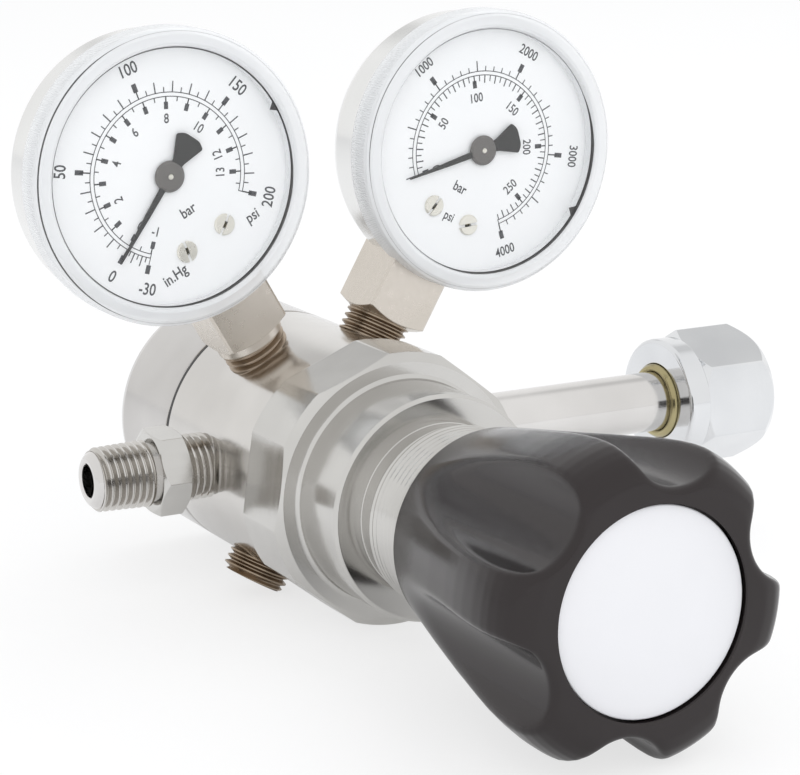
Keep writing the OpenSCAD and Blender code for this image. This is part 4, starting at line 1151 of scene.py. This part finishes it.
def flag_material(name, dark):
    """A grey studio flag that fades to the white of the backdrop at its edge."""
    mat, tree, shader = new_material(name)
    tree.nodes.remove(shader)
    coord = tree.nodes.new("ShaderNodeTexCoord")
    place = tree.nodes.new("ShaderNodeMapping")
    place.inputs["Location"].default_value = (-1, -1, 0)
    place.inputs["Scale"].default_value = (2, 2, 2)
    fade = tree.nodes.new("ShaderNodeTexGradient")
    fade.gradient_type = "QUADRATIC_SPHERE"
    glow = tree.nodes.new("ShaderNodeEmission")
    tree.links.new(coord.outputs["UV"], place.inputs["Vector"])
    tree.links.new(place.outputs[0], fade.inputs["Vector"])
    tree.links.new(ramp(tree, fade.outputs["Fac"], (1, 1, 1), (dark, dark, dark), 0.0, 0.5),
                   glow.inputs["Color"])
    tree.links.new(glow.outputs[0], tree.nodes["Material Output"].inputs[0])
    return mat


def flag(name, azimuth, elevation, width, height, dark, distance=1.1):
    """A flag that faces the object and that only reflections see."""
    out = direction(azimuth, elevation)
    side = direction(azimuth + 90, 0)
    up = side.cross(out)
    middle = CENTRE + out * distance
    corners = [middle + side * (width / 2 * i) + up * (height / 2 * j)
               for i, j in ((-1, -1), (1, -1), (1, 1), (-1, 1))]
    obj = plain_stage(name, [tuple(p) for p in corners], flag_material(name + "_grey", dark))
    layer = obj.data.uv_layers.new(name="sheet")
    for corner, place in zip(layer.data, ((0, 0), (1, 0), (1, 1), (0, 1))):
        corner.uv = place
    obj.visible_camera = False
    obj.visible_diffuse = False
    obj.visible_shadow = False
    obj.visible_transmission = False


flag("flag_nut", 59, 43, 0.8, 0.7, 0.75, 1.15)
flag("flag_flat", 11, 28.6, 0.6, 0.5, 0.72)


def world_light():
    """White where it is seen, a little dimmer as light."""
    world = bpy.data.worlds.new("studio")
    bpy.context.scene.world = world
    world.use_nodes = True
    tree = world.node_tree
    tree.nodes.clear()
    out = tree.nodes.new("ShaderNodeOutputWorld")
    seen = tree.nodes.new("ShaderNodeBackground")
    seen.inputs["Color"].default_value = (1, 1, 1, 1)
    seen.inputs["Strength"].default_value = 1.0
    lit = tree.nodes.new("ShaderNodeBackground")
    lit.inputs["Color"].default_value = (0.97, 0.98, 1, 1)
    lit.inputs["Strength"].default_value = 0.85
    mix = tree.nodes.new("ShaderNodeMixShader")
    tree.links.new(direct_rays(tree, 1.0), mix.inputs[0])
    tree.links.new(lit.outputs[0], mix.inputs[1])
    tree.links.new(seen.outputs[0], mix.inputs[2])
    tree.links.new(mix.outputs[0], out.inputs[0])


def area_light(name, azimuth, elevation, distance, size, power):
    """A round soft lamp that faces the object; reflections show the backdrop and not the lamp."""
    data = bpy.data.lights.new(name, "AREA")
    data.shape = "DISK"
    data.size = size
    data.energy = power
    obj = bpy.data.objects.new(name, data)
    obj.location = CENTRE + direction(azimuth, elevation) * distance
    facing = CENTRE - obj.location
    obj.rotation_euler = facing.to_track_quat("-Z", "Y").to_euler()
    obj.visible_glossy = False
    bpy.context.scene.collection.objects.link(obj)


world_light()
area_light("key", 80, 62, 1.6, 1.7, 7.0)
area_light("fill", -160, 35, 1.4, 1.2, 4.8)

camera_data = bpy.data.cameras.new("camera")
camera_data.sensor_width = 36.0
camera_data.lens = 116.109
camera_data.clip_start = 0.01
camera = bpy.data.objects.new("camera", camera_data)
camera.location = (-0.326375, -0.453686, 0.134448)
camera.rotation_euler = (radians(76.546614), radians(0.179710), radians(-28.916487))
bpy.context.scene.collection.objects.link(camera)
bpy.context.scene.camera = camera
bpy.context.scene.view_settings.view_transform = "Standard"
